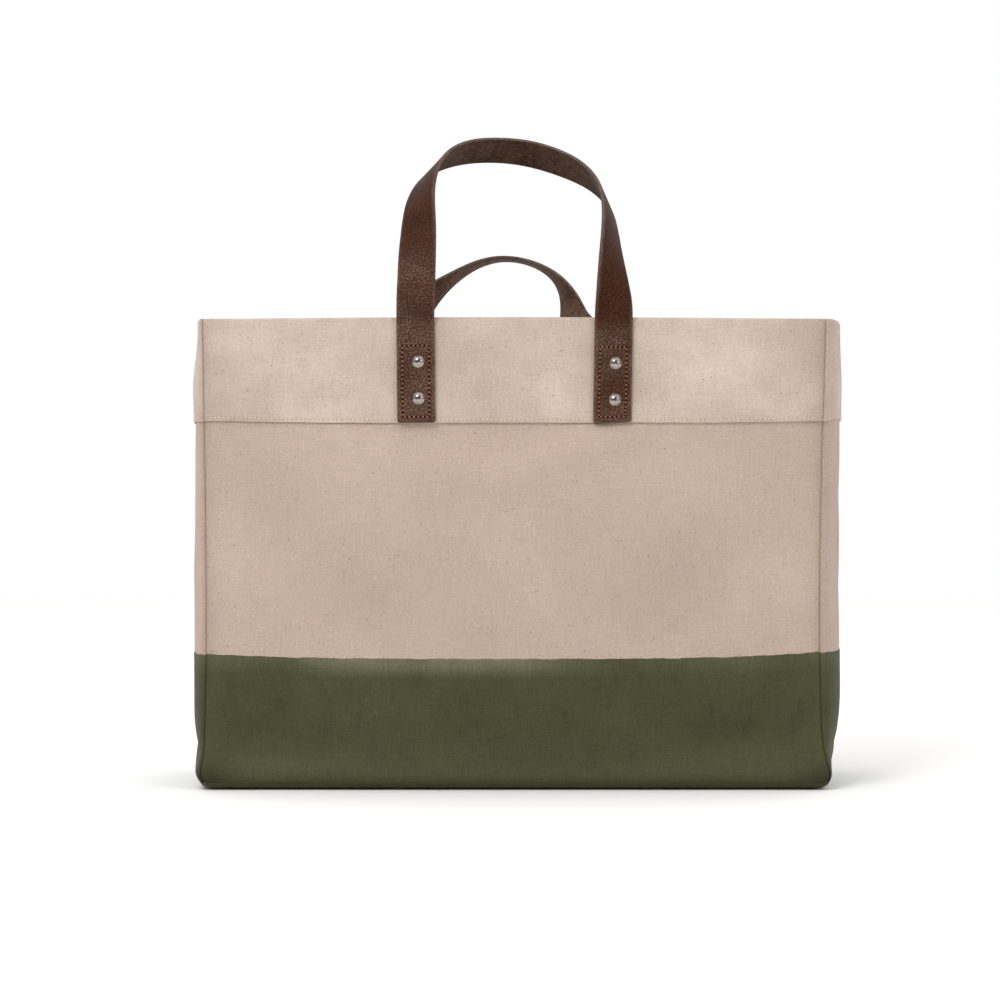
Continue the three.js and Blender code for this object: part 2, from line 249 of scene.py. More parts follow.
def sim_start():
    """The walls as one ring, rippled a little so that the cloth has ways to give, and how firmly each
    point is held: fully at the foot, less at the seams, and least at the rim and in the open cloth."""
    rings, holds = [], []
    for number, wall in enumerate(WALLS):
        p, v = sim_grid(wall, 0)
        place, way = plain_wall(wall, p, v)
        d = seam_distance(wall, p)
        ripple = waves(p + 0.3 * v, (0.061, 0.097, 0.153), 1 + number)
        ripple *= waves(v + 0.5 * p, (0.083, 0.131), 2 + number)
        rings.append(place + way * (RIPPLE * ripple * smooth(d / (30 * MM)))[..., None])
        foot = 1 - smooth(v / (20 * MM))
        seam = SEAM_HOLD * bell(d, 8 * MM)
        rim = RIM_HOLD * smooth((v - RIM_V + 20 * MM) / (20 * MM))
        holds.append(np.maximum(np.maximum(foot, seam), np.maximum(rim, LEAST_HOLD)))
    return np.concatenate(rings, 1), np.concatenate(holds, 1)


def settle():
    """Runs the walls as one sewn tube of cloth, filled and under its own weight, and returns how far each
    point of each wall moved outward or inward, as vectors."""
    start, hold = sim_start()
    mesh = bpy.data.meshes.new("settling")
    mesh.from_pydata(start.reshape(-1, 3).tolist(), [], ring_faces(*hold.shape)[1].tolist())
    tube = bpy.data.objects.new("settling", mesh)
    bpy.context.scene.collection.objects.link(tube)
    pins = tube.vertex_groups.new(name="pins")
    for i, w in enumerate(hold.ravel()):
        pins.add([i], float(w), "REPLACE")
    cloth = tube.modifiers.new("Cloth", "CLOTH")
    for rule, value in CLOTH_RULES.items():
        setattr(cloth.settings, rule, value)
    cloth.collision_settings.use_collision = False
    cloth.settings.effector_weights.gravity = GRAVITY_SHARE
    cloth.point_cache.frame_start = 1
    cloth.point_cache.frame_end = SIM_FRAMES
    for step in range(1, SIM_FRAMES + 1):
        bpy.context.scene.frame_set(step)
    evaluated = tube.evaluated_get(bpy.context.evaluated_depsgraph_get()).to_mesh()
    end = np.empty(start.size)
    evaluated.vertices.foreach_get("co", end)
    bpy.context.scene.frame_set(1)
    bpy.data.objects.remove(tube)
    end = end.reshape(start.shape)
    offsets, first = {}, 0
    for wall in WALLS:
        p, v = sim_grid(wall, 1)
        columns = range(first, first + p.shape[1])
        first += p.shape[1] - 1
        place, way = plain_wall(wall, p, v)
        out = ((np.take(end, columns, axis=1, mode="wrap") - place) * way).sum(-1)
        # The wall keeps its mean place, so that the outline stays as it was measured.
        inner = smooth(seam_distance(wall, p) / (60 * MM)) * smooth(v / (50 * MM))
        out -= (out * inner).sum() / inner.sum() * inner
        out *= 1 - 0.4 * smooth((v - RIM_V + 30 * MM) / (30 * MM))
        offsets[wall] = way * (SIM_CAP * np.tanh(out / SIM_CAP))[..., None]
    return offsets


def cubic_weights(t):
    return np.stack([
        -0.5 * t + t ** 2 - 0.5 * t ** 3,
        1 - 2.5 * t ** 2 + 1.5 * t ** 3,
        0.5 * t + 2 * t ** 2 - 1.5 * t ** 3,
        -0.5 * t ** 2 + 0.5 * t ** 3,
    ])


def read_grid(grid, row, column):
    """A smooth reading of a grid of vectors between its points."""
    rows, columns = grid.shape[:2]
    row, column = np.clip(row, 0, rows - 1), np.clip(column, 0, columns - 1)
    i, j = np.minimum(row.astype(int), rows - 2), np.minimum(column.astype(int), columns - 2)
    across, up = cubic_weights(column - j), cubic_weights(row - i)
    total = 0
    for a in range(4):
        line = 0
        for b in range(4):
            near = grid[np.clip(i + a - 1, 0, rows - 1), np.clip(j + b - 1, 0, columns - 1)]
            line = line + across[b][..., None] * near
        total = total + up[a][..., None] * line
    return total


settled = settle()

# The seam's two edges roll into each other, and the stitches gather the cloth beside them.
GROOVE_DEPTH = 2.1 * MM
GROOVE_WIDTH = 6.0 * MM
UNDER_GROOVE = 0.5 * MM
UNDER_GROOVE_WIDTH = 1.6 * MM
PUCKER = 0.28 * MM
PUCKER_REACH = 7 * MM


def roll_in(depth, share):
    """How far a rolled edge falls back, where share is 1 at the edge and 0 where the roll begins."""
    return depth * (1 - np.sqrt(1 - np.clip(share, 0, 0.9999) ** 2))


def relief(wall, p, v):
    """How far the cloth stands out from its settled surface beside the seams."""
    d = seam_distance(wall, p)
    groove = -roll_in(GROOVE_DEPTH, 1 - d / GROOVE_WIDTH)
    groove = groove - roll_in(UNDER_GROOVE, 1 - v / UNDER_GROOVE_WIDTH)
    side = WALLS.index(wall) + np.where(np.asarray(p) > span(wall) / 4, 5.0, 0.0)
    gather = waves(v, (0.0093, 0.0141, 0.0062, 0.0227), 1.3) * np.cos(side * 2.1)
    gather = gather + waves(v, (0.0117, 0.0079, 0.0304), 2.9) * np.sin(side * 2.1)
    puckers = PUCKER * gather * np.exp(-d / PUCKER_REACH) * smooth(d / (2.5 * MM))
    return groove + puckers * smooth(v / (20 * MM))


def on_wall(wall, p, v, lift=0.0):
    """A point of a wall's layer, lift out from the cloth's outer face."""
    p, v, lift = np.broadcast_arrays(*(np.asarray(a, float) for a in (p, v, lift)))
    place, way = plain_wall(wall, p, v)
    column = (p - first_p(wall)) / span(wall) * SIM_COLUMNS[is_face(wall)]
    place = place + read_grid(settled[wall], v / RIM_V * (SIM_ROWS - 1), column)
    return place + way * (lift + relief(wall, p, v))[..., None]


# --- meshes ---

def make_object(name, points, faces, materials, uv=None, face_materials=None, sharp=60):
    mesh = bpy.data.meshes.new(name)
    mesh.from_pydata(np.asarray(points).reshape(-1, 3).tolist(), [], [list(map(int, f)) for f in faces])
    for material in materials:
        mesh.materials.append(material)
    if uv is not None:
        layer = mesh.uv_layers.new(name="cloth")
        corner = np.empty(len(mesh.loops), int)
        mesh.loops.foreach_get("vertex_index", corner)
        layer.data.foreach_set("uv", np.asarray(uv).reshape(-1, 2)[corner].ravel())
    if face_materials is not None:
        mesh.polygons.foreach_set("material_index", np.asarray(face_materials, int))
    mesh.shade_smooth()
    mesh.set_sharp_from_angle(angle=math.radians(sharp))
    thing = bpy.data.objects.new(name, mesh)
    bpy.context.scene.collection.objects.link(thing)
    return thing


def closed_sheet(name, outer, inner, uv, materials, groups=(0, 0, 0)):
    """A solid between two grids of the same size. groups gives the material of the outer face, the inner
    face and the edge."""
    count = outer.shape[0] * outer.shape[1]
    index = np.arange(count).reshape(outer.shape[:2])
    out = np.stack([index[:-1, :-1], index[:-1, 1:], index[1:, 1:], index[1:, :-1]], -1).reshape(-1, 4)
    ring = np.concatenate([index[0, :], index[1:, -1], index[-1, -2::-1], index[-2:0:-1, 0]])
    after = np.roll(ring, -1)
    edge = np.stack([after, ring, ring + count, after + count], -1)
    faces = np.concatenate([out, out[:, ::-1] + count, edge])
    kinds = np.repeat(groups, [len(out), len(out), len(edge)])
    points = np.concatenate([outer.reshape(-1, 3), inner.reshape(-1, 3)])
    return make_object(name, points, faces, materials, np.concatenate([uv.reshape(-1, 2)] * 2), kinds)


def mark(sheet, **values):
    """Stores values for the points of a closed sheet, the same on its outer and inner face."""
    half = len(sheet.data.vertices) // 2
    for name, value in values.items():
        both = np.tile(np.broadcast_to(np.ravel(value), half), 2)
        sheet.data.attributes.new(name, "FLOAT", "POINT").data.foreach_set("value", both)


def rounded(distance, radius, least=0.15):
    """How thick a sheet is near its edge, as a share: a round edge instead of a square one."""
    t = np.clip(distance / radius, 0, 1)
    return least + (1 - least) * np.sqrt(1 - (1 - t) ** 2)


FINE = np.array([0.03, 0.12, 0.3, 0.55, 0.9, 1.3, 1.8, 2.4, 3.2, 4.3, 5.8, 7.6, 9.8]) * MM


def stops(low, high, step, fine_high=True):
    """Places from low to high, about step apart, and closer together near a finely made end."""
    first = low + FINE
    last = high - FINE[::-1] if fine_high else np.array([high])
    count = max(2, int(round((last[0] - first[-1]) / step)))
    middle = np.linspace(first[-1], last[0], count + 1)[1:-1]
    return np.concatenate([first, middle, last])


def wall_stops(wall, step):
    return stops(first_p(wall), first_p(wall) + span(wall), step)


# How far the painted shade beside each seam reaches.
SEAM_SHADE_WIDTH = 5 * MM


def add_layer(name, wall, p, path, half, material, taper=None):
    """A cloth layer whose section is given by path, pairs of v and lift, and which is 2 half thick. p is a
    line of places across the wall. path may differ from place to place: rows x columns x 2."""
    path = np.asarray(path, float)
    if path.ndim == 2:
        path = np.repeat(path[:, None, :], len(p), axis=1)
    step = unit(np.gradient(path, axis=0))
    along = distance_along(path)
    ends = np.minimum(along, along[-1] - along)
    thick = half * rounded(ends, half * 1.2) if taper is None else half * taper
    side = np.stack([-step[..., 1], step[..., 0]], -1) * thick[..., None]
    grid_p = np.broadcast_to(p, path.shape[:2])
    outer, inner = (on_wall(wall, grid_p, *np.moveaxis(face, -1, 0)) for face in (path + side, path - side))
    sheet = closed_sheet(name, outer, inner, np.stack([grid_p, along + path[0, 0, 0]], -1), [material])
    # Each point's share of the painted shade beside the seams.
    mark(sheet, near_seam=np.exp(-seam_distance(wall, grid_p) / SEAM_SHADE_WIDTH))
    return sheet


# --- materials ---

def tone(red, green, blue):
    """A colour given as it shows on a screen, from 0 to 255."""
    light = [((c / 255 + 0.055) / 1.055) ** 2.4 if c > 10 else c / 3295 for c in (red, green, blue)]
    return (*light, 1.0)


class Graph:
    """A small helper to wire procedural nodes."""

    def __init__(self, tree):
        self.tree = tree

    def put(self, socket, value):
        if isinstance(value, bpy.types.NodeSocket):
            self.tree.links.new(value, socket)
        else:
            socket.default_value = value

    def node(self, kind, values=(), **settings):
        made = self.tree.nodes.new(kind)
        for key, value in settings.items():
            setattr(made, key, value)
        for key, value in dict(values).items():
            self.put(made.inputs[key], value)
        return made

    def math(self, operation, *values, clamp=False):
        values = dict(enumerate(values))
        return self.node("ShaderNodeMath", values, operation=operation, use_clamp=clamp).outputs[0]

    def times(self, a, b):
        return self.math("MULTIPLY", a, b)

    def plus(self, a, b):
        return self.math("ADD", a, b)

    def sway(self, value, by, amount):
        """value, moved by amount times what by is above or below a half."""
        return self.plus(value, self.times(self.plus(by, -0.5), amount))

    def ramp(self, value, low, high, start=0.0, end=1.0):
        """start below low, end above high, and smooth between."""
        values = {0: value, 1: low, 2: high, 3: start, 4: end}
        return self.node("ShaderNodeMapRange", values, interpolation_type="SMOOTHSTEP").outputs[0]

    def blend(self, share, a, b):
        """A number between a and b."""
        return self.node("ShaderNodeMix", {0: share, 2: a, 3: b}, data_type="FLOAT").outputs[0]

    def mix(self, share, a, b, blend="MIX"):
        """A colour between a and b, which may be given as they show on a screen, from 0 to 255."""
        made = self.node("ShaderNodeMix", data_type="RGBA", blend_type=blend)
        for key, value in ((0, share), (6, a), (7, b)):
            self.put(made.inputs[key], tone(*value) if isinstance(value, tuple) else value)
        return made.outputs[2]

    def tint(self, colour, share, amount, over):
        """colour with over laid on it, amount strong where share is 1."""
        return self.mix(self.times(share, amount), colour, over)

    def uv(self):
        return self.node("ShaderNodeUVMap", uv_map="cloth").outputs[0]

    def place(self):
        return self.node("ShaderNodeTexCoord").outputs["Object"]

    def parts(self, vector):
        made = self.node("ShaderNodeSeparateXYZ", {0: vector})
        return made.outputs[0], made.outputs[1], made.outputs[2]

    def join(self, x, y, z=0.0):
        return self.node("ShaderNodeCombineXYZ", {0: x, 1: y, 2: z}).outputs[0]

    def noise(self, vector, scale, detail=2.0, roughness=0.5, distortion=0.0):
        values = {"Vector": vector, "Scale": scale, "Detail": detail, "Roughness": roughness}
        values["Distortion"] = distortion
        return self.node("ShaderNodeTexNoise", values).outputs[0]

    def attribute(self, name):
        return self.node("ShaderNodeAttribute", attribute_name=name).outputs["Fac"]

    def bump(self, height, distance, strength, under=None):
        values = {"Height": height, "Distance": distance, "Strength": strength}
        if under is not None:
            values["Normal"] = under
        return self.node("ShaderNodeBump", values).outputs[0]


class Look(Graph):
    """A material, whose surface is set once its nodes are made."""

    def __init__(self, name):
        self.material = bpy.data.materials.new(name)
        self.material.use_nodes = True
        super().__init__(self.material.node_tree)

    def set(self, **values):
        shader = self.tree.nodes["Principled BSDF"]
        for key, value in values.items():
            self.put(shader.inputs[key.replace("_", " ")], value)
        return self.material


THREAD_PITCH = 0.72 * MM


def weave(g, uv, wander=0.6):
    """Plain weave: the height of the threads, which thread is on top, and each thread's own shade."""
    x, y, _ = g.parts(uv)
    drift = g.plus(g.noise(uv, 170, 2.0), -0.5)
    other = g.plus(g.noise(g.join(y, x, 0.37), 170, 2.0), -0.5)
    across = g.math("MULTIPLY_ADD", x, 1 / THREAD_PITCH, g.times(drift, wander))
    upward = g.math("MULTIPLY_ADD", y, 1 / THREAD_PITCH, g.times(other, wander))
    cross = g.times(
        g.math("SINE", g.times(across, math.pi)), g.math("SINE", g.times(upward, math.pi)))
    height = g.math("POWER", g.math("ABSOLUTE", cross), 0.7)
    over = g.math("MULTIPLY_ADD", cross, 1.5, 0.5, clamp=True)
    warp = g.noise(g.join(across, g.times(upward, 0.08)), 0.62, 2.0, 0.6)
    weft = g.noise(g.join(g.times(across, 0.08), upward, 4.7), 0.62, 2.0, 0.6)
    return height, over, g.blend(over, weft, warp)


def specks(g, uv, scale, size, share):
    """Small scattered marks, size across as a share of their spacing, on a share of the places."""
    cell = g.node("ShaderNodeTexVoronoi", {"Vector": uv, "Scale": scale})
    chosen = g.parts(cell.outputs["Color"])[0]
    near = g.ramp(cell.outputs["Distance"], size * 0.5, size, 1.0, 0.0)
    return g.times(near, g.ramp(chosen, share - 0.01, share + 0.01, 1.0, 0.0))


def shaded(g, base, value, *sways):
    """base made lighter or darker by value, itself moved by each pair of what moves it and how much."""
    for by, amount in sways:
        value = g.sway(value, by, amount)
    grey = g.node("ShaderNodeCombineColor", {0: value, 1: value, 2: value}).outputs[0]
    return g.mix(1.0, base, grey, "MULTIPLY")


def canvas_material(name, dark, light, checks):
    """Natural cotton canvas with seed flecks. checks is how far warp and weft differ in shade."""
    g = Look(name)
    uv = g.uv()
    height, over, shade = weave(g, uv)
    blotch = g.noise(uv, 11, 3.0, 0.55)
    patch = g.noise(uv, 55, 3.0, 0.6)
    nub = g.noise(uv, 620, 3.0, 0.7)
    base = g.mix(g.ramp(blotch, 0.3, 0.7), dark, light)
    base = g.tint(base, g.ramp(patch, 0.35, 0.75), 0.35, (190, 168, 154))
    value = g.math("MULTIPLY_ADD", height, 0.16, 0.89)
    colour = shaded(g, base, value, (shade, 0.4), (over, checks), (nub, 0.55))
    seeds = g.plus(specks(g, uv, 190, 0.13, 0.22), g.times(specks(g, uv, 420, 0.24, 0.16), 0.6))
    colour = g.tint(colour, seeds, 0.65, (128, 98, 78))
    colour = g.tint(colour, specks(g, uv, 300, 0.2, 0.14), 0.45, (232, 218, 207))
    # Painted shade: the canvas darkens towards each seam, where its groove lies in shade.
    colour = g.tint(colour, g.attribute("near_seam"), 0.28, (112, 88, 74))
    slubs = g.plus(g.plus(g.times(height, 0.8), g.times(shade, 0.9)), g.times(nub, 0.8))
    normal = g.bump(slubs, 0.25 * MM, 0.8)
    fuzz = g.bump(g.noise(uv, 2600, 2.0), 0.05 * MM, 0.5, normal)
    return g.set(
        Base_Color=colour, Roughness=g.math("MULTIPLY_ADD", patch, 0.1, 0.84), Normal=fuzz,
        Sheen_Weight=0.08, Sheen_Roughness=0.5, Specular_IOR_Level=0.22)


def coat_material():
    """Olive coating that lets the weave through, with painted light low down, a painted sheen below its
    upper edge, and painted shade in its lower corners and along its foot.
    """
    g = Look("olive coat")
    uv = g.uv()
    height, over, shade = weave(g, uv)
    below = g.attribute("below_edge")
    cloud = g.noise(uv, 16, 4.0, 0.6, 0.4)
    streak = g.noise(g.join(g.times(g.parts(uv)[0], 2.2), g.parts(uv)[1]), 30, 3.0, 0.6)
    patch = g.noise(uv, 90, 3.0, 0.65)
    nub = g.noise(uv, 620, 3.0, 0.7)
    base = g.mix(g.ramp(cloud, 0.3, 0.7), (70, 71, 47), (78, 78, 55))
    # Darker vertical streaks: uneven coating, and painted shade of faint folds.
    base = g.tint(base, g.ramp(streak, 0.5, 0.8), 0.35, (52, 53, 34))
    base = g.tint(base, g.ramp(patch, 0.55, 0.8), 0.3, (86, 84, 58))
    # Painted light: the coat is made lighter far below its edge, low on the bag.
    base = g.mix(g.ramp(below, 45 * MM, 85 * MM, 0.0, 0.6), base, (92, 92, 68))
    # Painted sheen: lighter just below the coat's upper edge, strongest on the faces.
    fade = g.times(g.ramp(below, 0.0, 15 * MM, 1.0, 0.0), g.ramp(cloud, 0.25, 0.6, 0.4, 1.0))
    base = g.tint(base, g.times(fade, g.attribute("faded")), 0.9, (124, 120, 98))
    # Painted shade: darker in the lower corners, along the bottom seam and on the underside.
    base = g.tint(base, g.attribute("corner"), 0.75, (43, 40, 25))
    value = g.math("MULTIPLY_ADD", height, 0.2, 0.87)
    colour = shaded(g, base, value, (shade, 0.75), (over, 0.36), (nub, 0.7))
    worn = g.times(specks(g, uv, 300, 0.17, 0.14), g.ramp(patch, 0.45, 0.65))
    colour = g.tint(colour, worn, 0.12, (150, 142, 118))
    normal = g.bump(g.plus(g.times(height, 0.6), g.times(shade, 0.9)), 0.18 * MM, 0.7)
    skin = g.bump(g.noise(uv, 1500, 3.0), 0.05 * MM, 0.5, normal)
    rough = g.math("MULTIPLY_ADD", cloud, 0.24, 0.5)
    return g.set(Base_Color=colour, Roughness=rough, Normal=skin, Specular_IOR_Level=0.1)


def leather_material():
    """Dyed strap leather: warm brown where it bends, grained below with a painted greyish reflection of the
    sky, painted highlights on the grain and a painted highlight along its edges.
    """
    g = Look("leather grain side")
    uv = g.uv()
    across, along, _ = g.parts(uv)
    side = g.math("ABSOLUTE", across)
    mottle = g.noise(uv, 30, 4.0, 0.6, 0.3)
    fine = g.noise(uv, 800, 3.0, 0.7)
    bent = g.times(g.ramp(along, 95 * MM, 125 * MM), g.ramp(along, 458 * MM, 480 * MM, 1.0, 0.0))
    # Painted reflection: a greyish sheen of the sky on the leather, kept off the bend.
    sky_reflection = g.ramp(g.noise(g.join(across, along, 0.31), 22, 3.0, 0.6), 0.36, 0.6, 0.25, 1.0)
    sky_reflection = g.times(sky_reflection, g.math("MULTIPLY_ADD", bent, -0.9, 1.0))
    colour = g.mix(g.ramp(mottle, 0.3, 0.7), (50, 23, 9), (70, 37, 19))
    colour = g.tint(colour, sky_reflection, 0.7, (88, 64, 55))
    # Painted highlight along the strap's rounded edges, broken up by noise.
    edge_highlight = g.ramp(side, STRAP_WIDTH / 2 - 2.4 * MM, STRAP_WIDTH / 2 - 0.3 * MM)
    edge_highlight = g.times(edge_highlight, g.ramp(g.noise(uv, 150, 3.0, 0.7), 0.3, 0.65, 0.25, 1.0))
    colour = g.tint(colour, edge_highlight, 0.6, (112, 88, 78))
    # Painted highlights on the grain, strongest where the painted reflection lies.
    shine = g.math("MULTIPLY_ADD", sky_reflection, 0.6, 0.1)
    colour = g.tint(colour, g.ramp(fine, 0.48, 0.64), shine, (138, 113, 102))
    colour = g.tint(colour, g.ramp(fine, 0.34, 0.48, 1.0, 0.0), 0.6, (20, 9, 4))
    wobble = g.node("ShaderNodeVectorMath", {0: uv, 1: g.join(g.times(fine, 0.0012), 0.0)})
    values = {"Vector": wobble.outputs[0], "Scale": 900, "Randomness": 1.0}
    grain = g.node("ShaderNodeTexVoronoi", values, feature="DISTANCE_TO_EDGE").outputs["Distance"]
    crease = g.noise(g.join(g.times(across, 0.35), along), 240, 3.0, 0.65)
    normal = g.bump(g.plus(g.ramp(grain, 0.0, 0.25), fine), 0.14 * MM, 0.8)
    normal = g.bump(crease, 0.22 * MM, 0.4, normal)
    gloss = g.math("MULTIPLY_ADD", fine, 0.3, 0.3)
    return g.set(Base_Color=colour, Roughness=gloss, Normal=normal, Specular_IOR_Level=0.06)


def flesh_material():
    """The fibrous inner side of the leather."""
    g = Look("leather flesh side")
    uv = g.uv()
    across, along, _ = g.parts(uv)
    fibre = g.noise(g.join(across, g.times(along, 0.3)), 900, 4.0, 0.7, 0.6)
    cloud = g.noise(uv, 70, 4.0, 0.65)
    colour = g.mix(g.ramp(cloud, 0.3, 0.7), (54, 37, 28), (84, 61, 47))
    colour = g.tint(colour, g.ramp(fibre, 0.48, 0.66), 0.7, (128, 98, 78))
    colour = g.tint(colour, specks(g, uv, 560, 0.28, 0.25), 0.45, (30, 19, 14))
    return g.set(
        Base_Color=colour, Roughness=0.88, Normal=g.bump(fibre, 0.2 * MM, 0.8), Sheen_Weight=0.04,
        Specular_IOR_Level=0.12)


def cut_edge_material():
    g = Look("leather cut edge")
    spot = g.place()
    layers = g.noise(spot, 1400, 3.0, 0.7)
    colour = g.mix(g.ramp(layers, 0.35, 0.7), (62, 42, 33), (116, 92, 78))
    colour = g.tint(colour, g.ramp(g.noise(spot, 120, 2.0), 0.4, 0.7), 0.4, (46, 31, 25))
    return g.set(Base_Color=colour, Roughness=0.6, Normal=g.bump(layers, 0.12 * MM, 0.7))


def nickel_material():
    g = Look("nickel plate")
    spot = g.place()
    smear = g.noise(spot, 900, 3.0, 0.6)
    scratch = g.noise(g.node("ShaderNodeMapping", {0: spot, 3: (1, 1, 9)}).outputs[0], 1500, 2.0)
    colour = g.mix(g.ramp(smear, 0.35, 0.75), (174, 163, 157), (124, 112, 106))
    return g.set(
        Base_Color=colour, Metallic=1.0, Roughness=g.math("MULTIPLY_ADD", smear, 0.14, 0.14),
        Normal=g.bump(scratch, 0.02 * MM, 0.4))


def thread_material(name, dark, light):
    g = Look(name)
    ply = g.noise(g.place(), 2600, 2.0, 0.6)
    colour = g.mix(g.ramp(ply, 0.35, 0.65), dark, light)
    normal = g.bump(ply, 0.15 * MM, 0.8)
    return g.set(Base_Color=colour, Roughness=0.7, Normal=normal, Specular_IOR_Level=0.1)


def tape_material():
    g = Look("cotton tape")
    spot = g.place()
    x, y, z = g.parts(spot)
    twill = g.math("SINE", g.times(g.plus(g.plus(x, y), z), 2 * math.pi / (1.1 * MM)))
    colour = g.mix(
        g.ramp(g.noise(spot, 120, 3.0), 0.3, 0.7), (212, 197, 180), (226, 213, 198))
    colour = g.mix(g.math("MULTIPLY_ADD", twill, 0.08, 0.1, clamp=True), colour, (150, 132, 116))
    return g.set(Base_Color=colour, Roughness=0.88, Normal=g.bump(twill, 0.15 * MM, 0.6))


CANVAS_LOOK = canvas_material("natural canvas", (192, 170, 156), (202, 180, 166), 0.22)
# The band's copy of the canvas is lighter: painted light, the bag's top lit more than its body.
BAND_LOOK = canvas_material("natural canvas band", (194, 173, 159), (217, 198, 185), 0.36)
COAT_LOOK = coat_material()
GRAIN_LOOK = leather_material()
FLESH_LOOK = flesh_material()
EDGE_LOOK = cut_edge_material()
NICKEL_LOOK = nickel_material()
PALE_THREAD = thread_material("pale thread", (206, 188, 172), (234, 220, 206))
BROWN_THREAD = thread_material("brown thread", (132, 70, 44), (192, 128, 94))
# Painted shade: needle holes and the dimples by the band's stitches are coloured dark for the shade in
# them.
HOLE_LOOK = thread_material("needle hole", (14, 6, 4), (26, 13, 9))
DIMPLE_LOOK = thread_material("dimple in the cloth", (158, 135, 118), (178, 156, 140))
TAPE_LOOK = tape_material()


def finish_piece(piece, slot, *nodes):
    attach(piece, "bag")
    if nodes:
        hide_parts(*nodes)


# --- body cloth ---

FOLD_RADIUS = 1.5 * MM
PANEL_TOP_V = RIM_V - FOLD_RADIUS - CANVAS / 2
BAND_FOOT_V = BAND_FOOT + UP_TO_V
FACING = 13 * MM
# The band's lower edge: how far up its stitches sit, how far they draw the cloth in, how far the edge
# stands off a face or a gusset, how wide either ridge is, and how the edge runs on faces and gussets.
HEM_STITCH = 2.1 * MM
HEM_RIDGE = 0.9 * MM
HEM_PULL = 0.26 * MM
HEM_FLARE = {True: 0.5 * MM, False: 0.1 * MM}
HEM_HANG = 1.5 * MM
GUSSET_HEM_RISE = {"left": 0.4 * MM, "right": 2.4 * MM}
STEP = 3 * MM

for wall in WALLS:
    rows = stops(0.3 * MM, PANEL_TOP_V, STEP, fine_high=False)
    path = np.stack([rows, 0 * rows - CANVAS / 2], -1)
    panel = add_layer(f"{wall}_panel_cloth", wall, wall_stops(wall, STEP), path, CANVAS / 2, CANVAS_LOOK)
    finish_piece(panel, "canvas", f"{wall}_panel")


def band_lift(wall, above):
    """How far out the middle of the band's cloth lies: its foot lies closer on a gusset than on a face."""
    close = 0.0 if is_face(wall) else 0.2 * MM
    return CANVAS / 2 + GAP - close * (1 - smooth(above / (25 * MM)))


def hem_v(wall, p):
    """How far up the wall the lower edge of the band runs: it hangs a little in the middle of a face, and
    rises away from the seams on a gusset."""
    if not is_face(wall):
        return BAND_FOOT_V + GUSSET_HEM_RISE[wall] * smooth(seam_distance(wall, p) / (12 * MM))
    shake = 0.15 * MM * waves(p, (0.067, 0.043, 0.021), 0.8)
    return BAND_FOOT_V + 0.4 * MM - HEM_HANG * smooth(seam_distance(wall, p) / (90 * MM)) + shake


def band_path(wall, p):
    """Up the outside from the band's foot, over the rim, and a little way down the inside."""
    hem = hem_v(wall, p)
    share = (stops(BAND_FOOT_V, PANEL_TOP_V, STEP, fine_high=False) - BAND_FOOT_V)
    share = share[:, None] / (PANEL_TOP_V - BAND_FOOT_V)
    rise = hem + (PANEL_TOP_V - hem) * share
    above = rise - hem
    pull = HEM_PULL * bell(above - HEM_STITCH, HEM_RIDGE)
    flare = HEM_FLARE[is_face(wall)] * bell(above, HEM_RIDGE)
    outside = np.stack([rise, band_lift(wall, above) - pull + flare], -1)
    turn = np.linspace(0, np.pi, 11)[1:-1]
    fold = np.stack(
        [PANEL_TOP_V + FOLD_RADIUS * np.sin(turn), FOLD_RADIUS * np.cos(turn) - CANVAS / 2], -1)
    drop = np.linspace(0, FACING, 7)
    inside = np.stack([PANEL_TOP_V - drop, 0 * drop - CANVAS / 2 - FOLD_RADIUS], -1)
    rest = np.concatenate([fold, inside])
    return np.concatenate([outside, np.repeat(rest[:, None, :], len(p), axis=1)])


for wall in WALLS:
    p = wall_stops(wall, STEP)
    band = add_layer(f"{wall}_band_cloth", wall, p, band_path(wall, p), CANVAS / 2, BAND_LOOK)
    finish_piece(band, "canvas", f"{wall}_top_band")

# --- coat ---

COAT_GAP = 0.12 * MM
COAT_THICK = 0.3 * MM
COAT_STEP = 1.7 * MM
COAT_TOP_V = COAT_TOP + UP_TO_V
# How far the coat's edge lies below its CAD height in the middle of a face, and how much higher it is at
# each seam of a face, and on each gusset.
COAT_DROP = 0.9 * MM
COAT_RISE = {-1: 2.6 * MM, 1: 4.1 * MM}
GUSSET_RISE = {"left": 1.9 * MM, "right": 3.4 * MM}
# Where each wall starts in the waves of the coat's edge, and how high these are, long and short.
COAT_SHIFT = {"front": 0.0, "right": 0.5, "back": 0.211, "left": 0.73}
COAT_WAVE = 0.35 * MM
COAT_RIPPLE = 0.16 * MM
# Where the painted sheen below the edge lies on a face, across and half across, and how far the painted
# shade reaches from each lower corner, across and up, and from the bottom seam.
SHEEN_AT = -52 * MM
SHEEN_HALF = 85 * MM
CORNER_SHADE_ACROSS = 24 * MM
CORNER_SHADE_UP = 15 * MM
FOOT_SHADE_UP = 5 * MM


def coat_edge(wall, p):
    """How far up the wall the coat goes: lowest in the middle of a face, and a little unsteady."""
    if is_face(wall):
        rise = np.where(p < 0, COAT_RISE[-1], COAT_RISE[1]) * np.abs(p / SEAM_HALF_WIDTH) ** 4
    else:
        rise = GUSSET_RISE[wall] + 0 * p
    spot = p + COAT_SHIFT[wall]
    shake = COAT_WAVE * waves(spot, (0.043, 0.029, 0.017), 1.1)
    shake = shake + COAT_RIPPLE * waves(spot, (0.0071, 0.0046, 0.0103), 0.4)
    return COAT_TOP_V - COAT_DROP + rise + shake


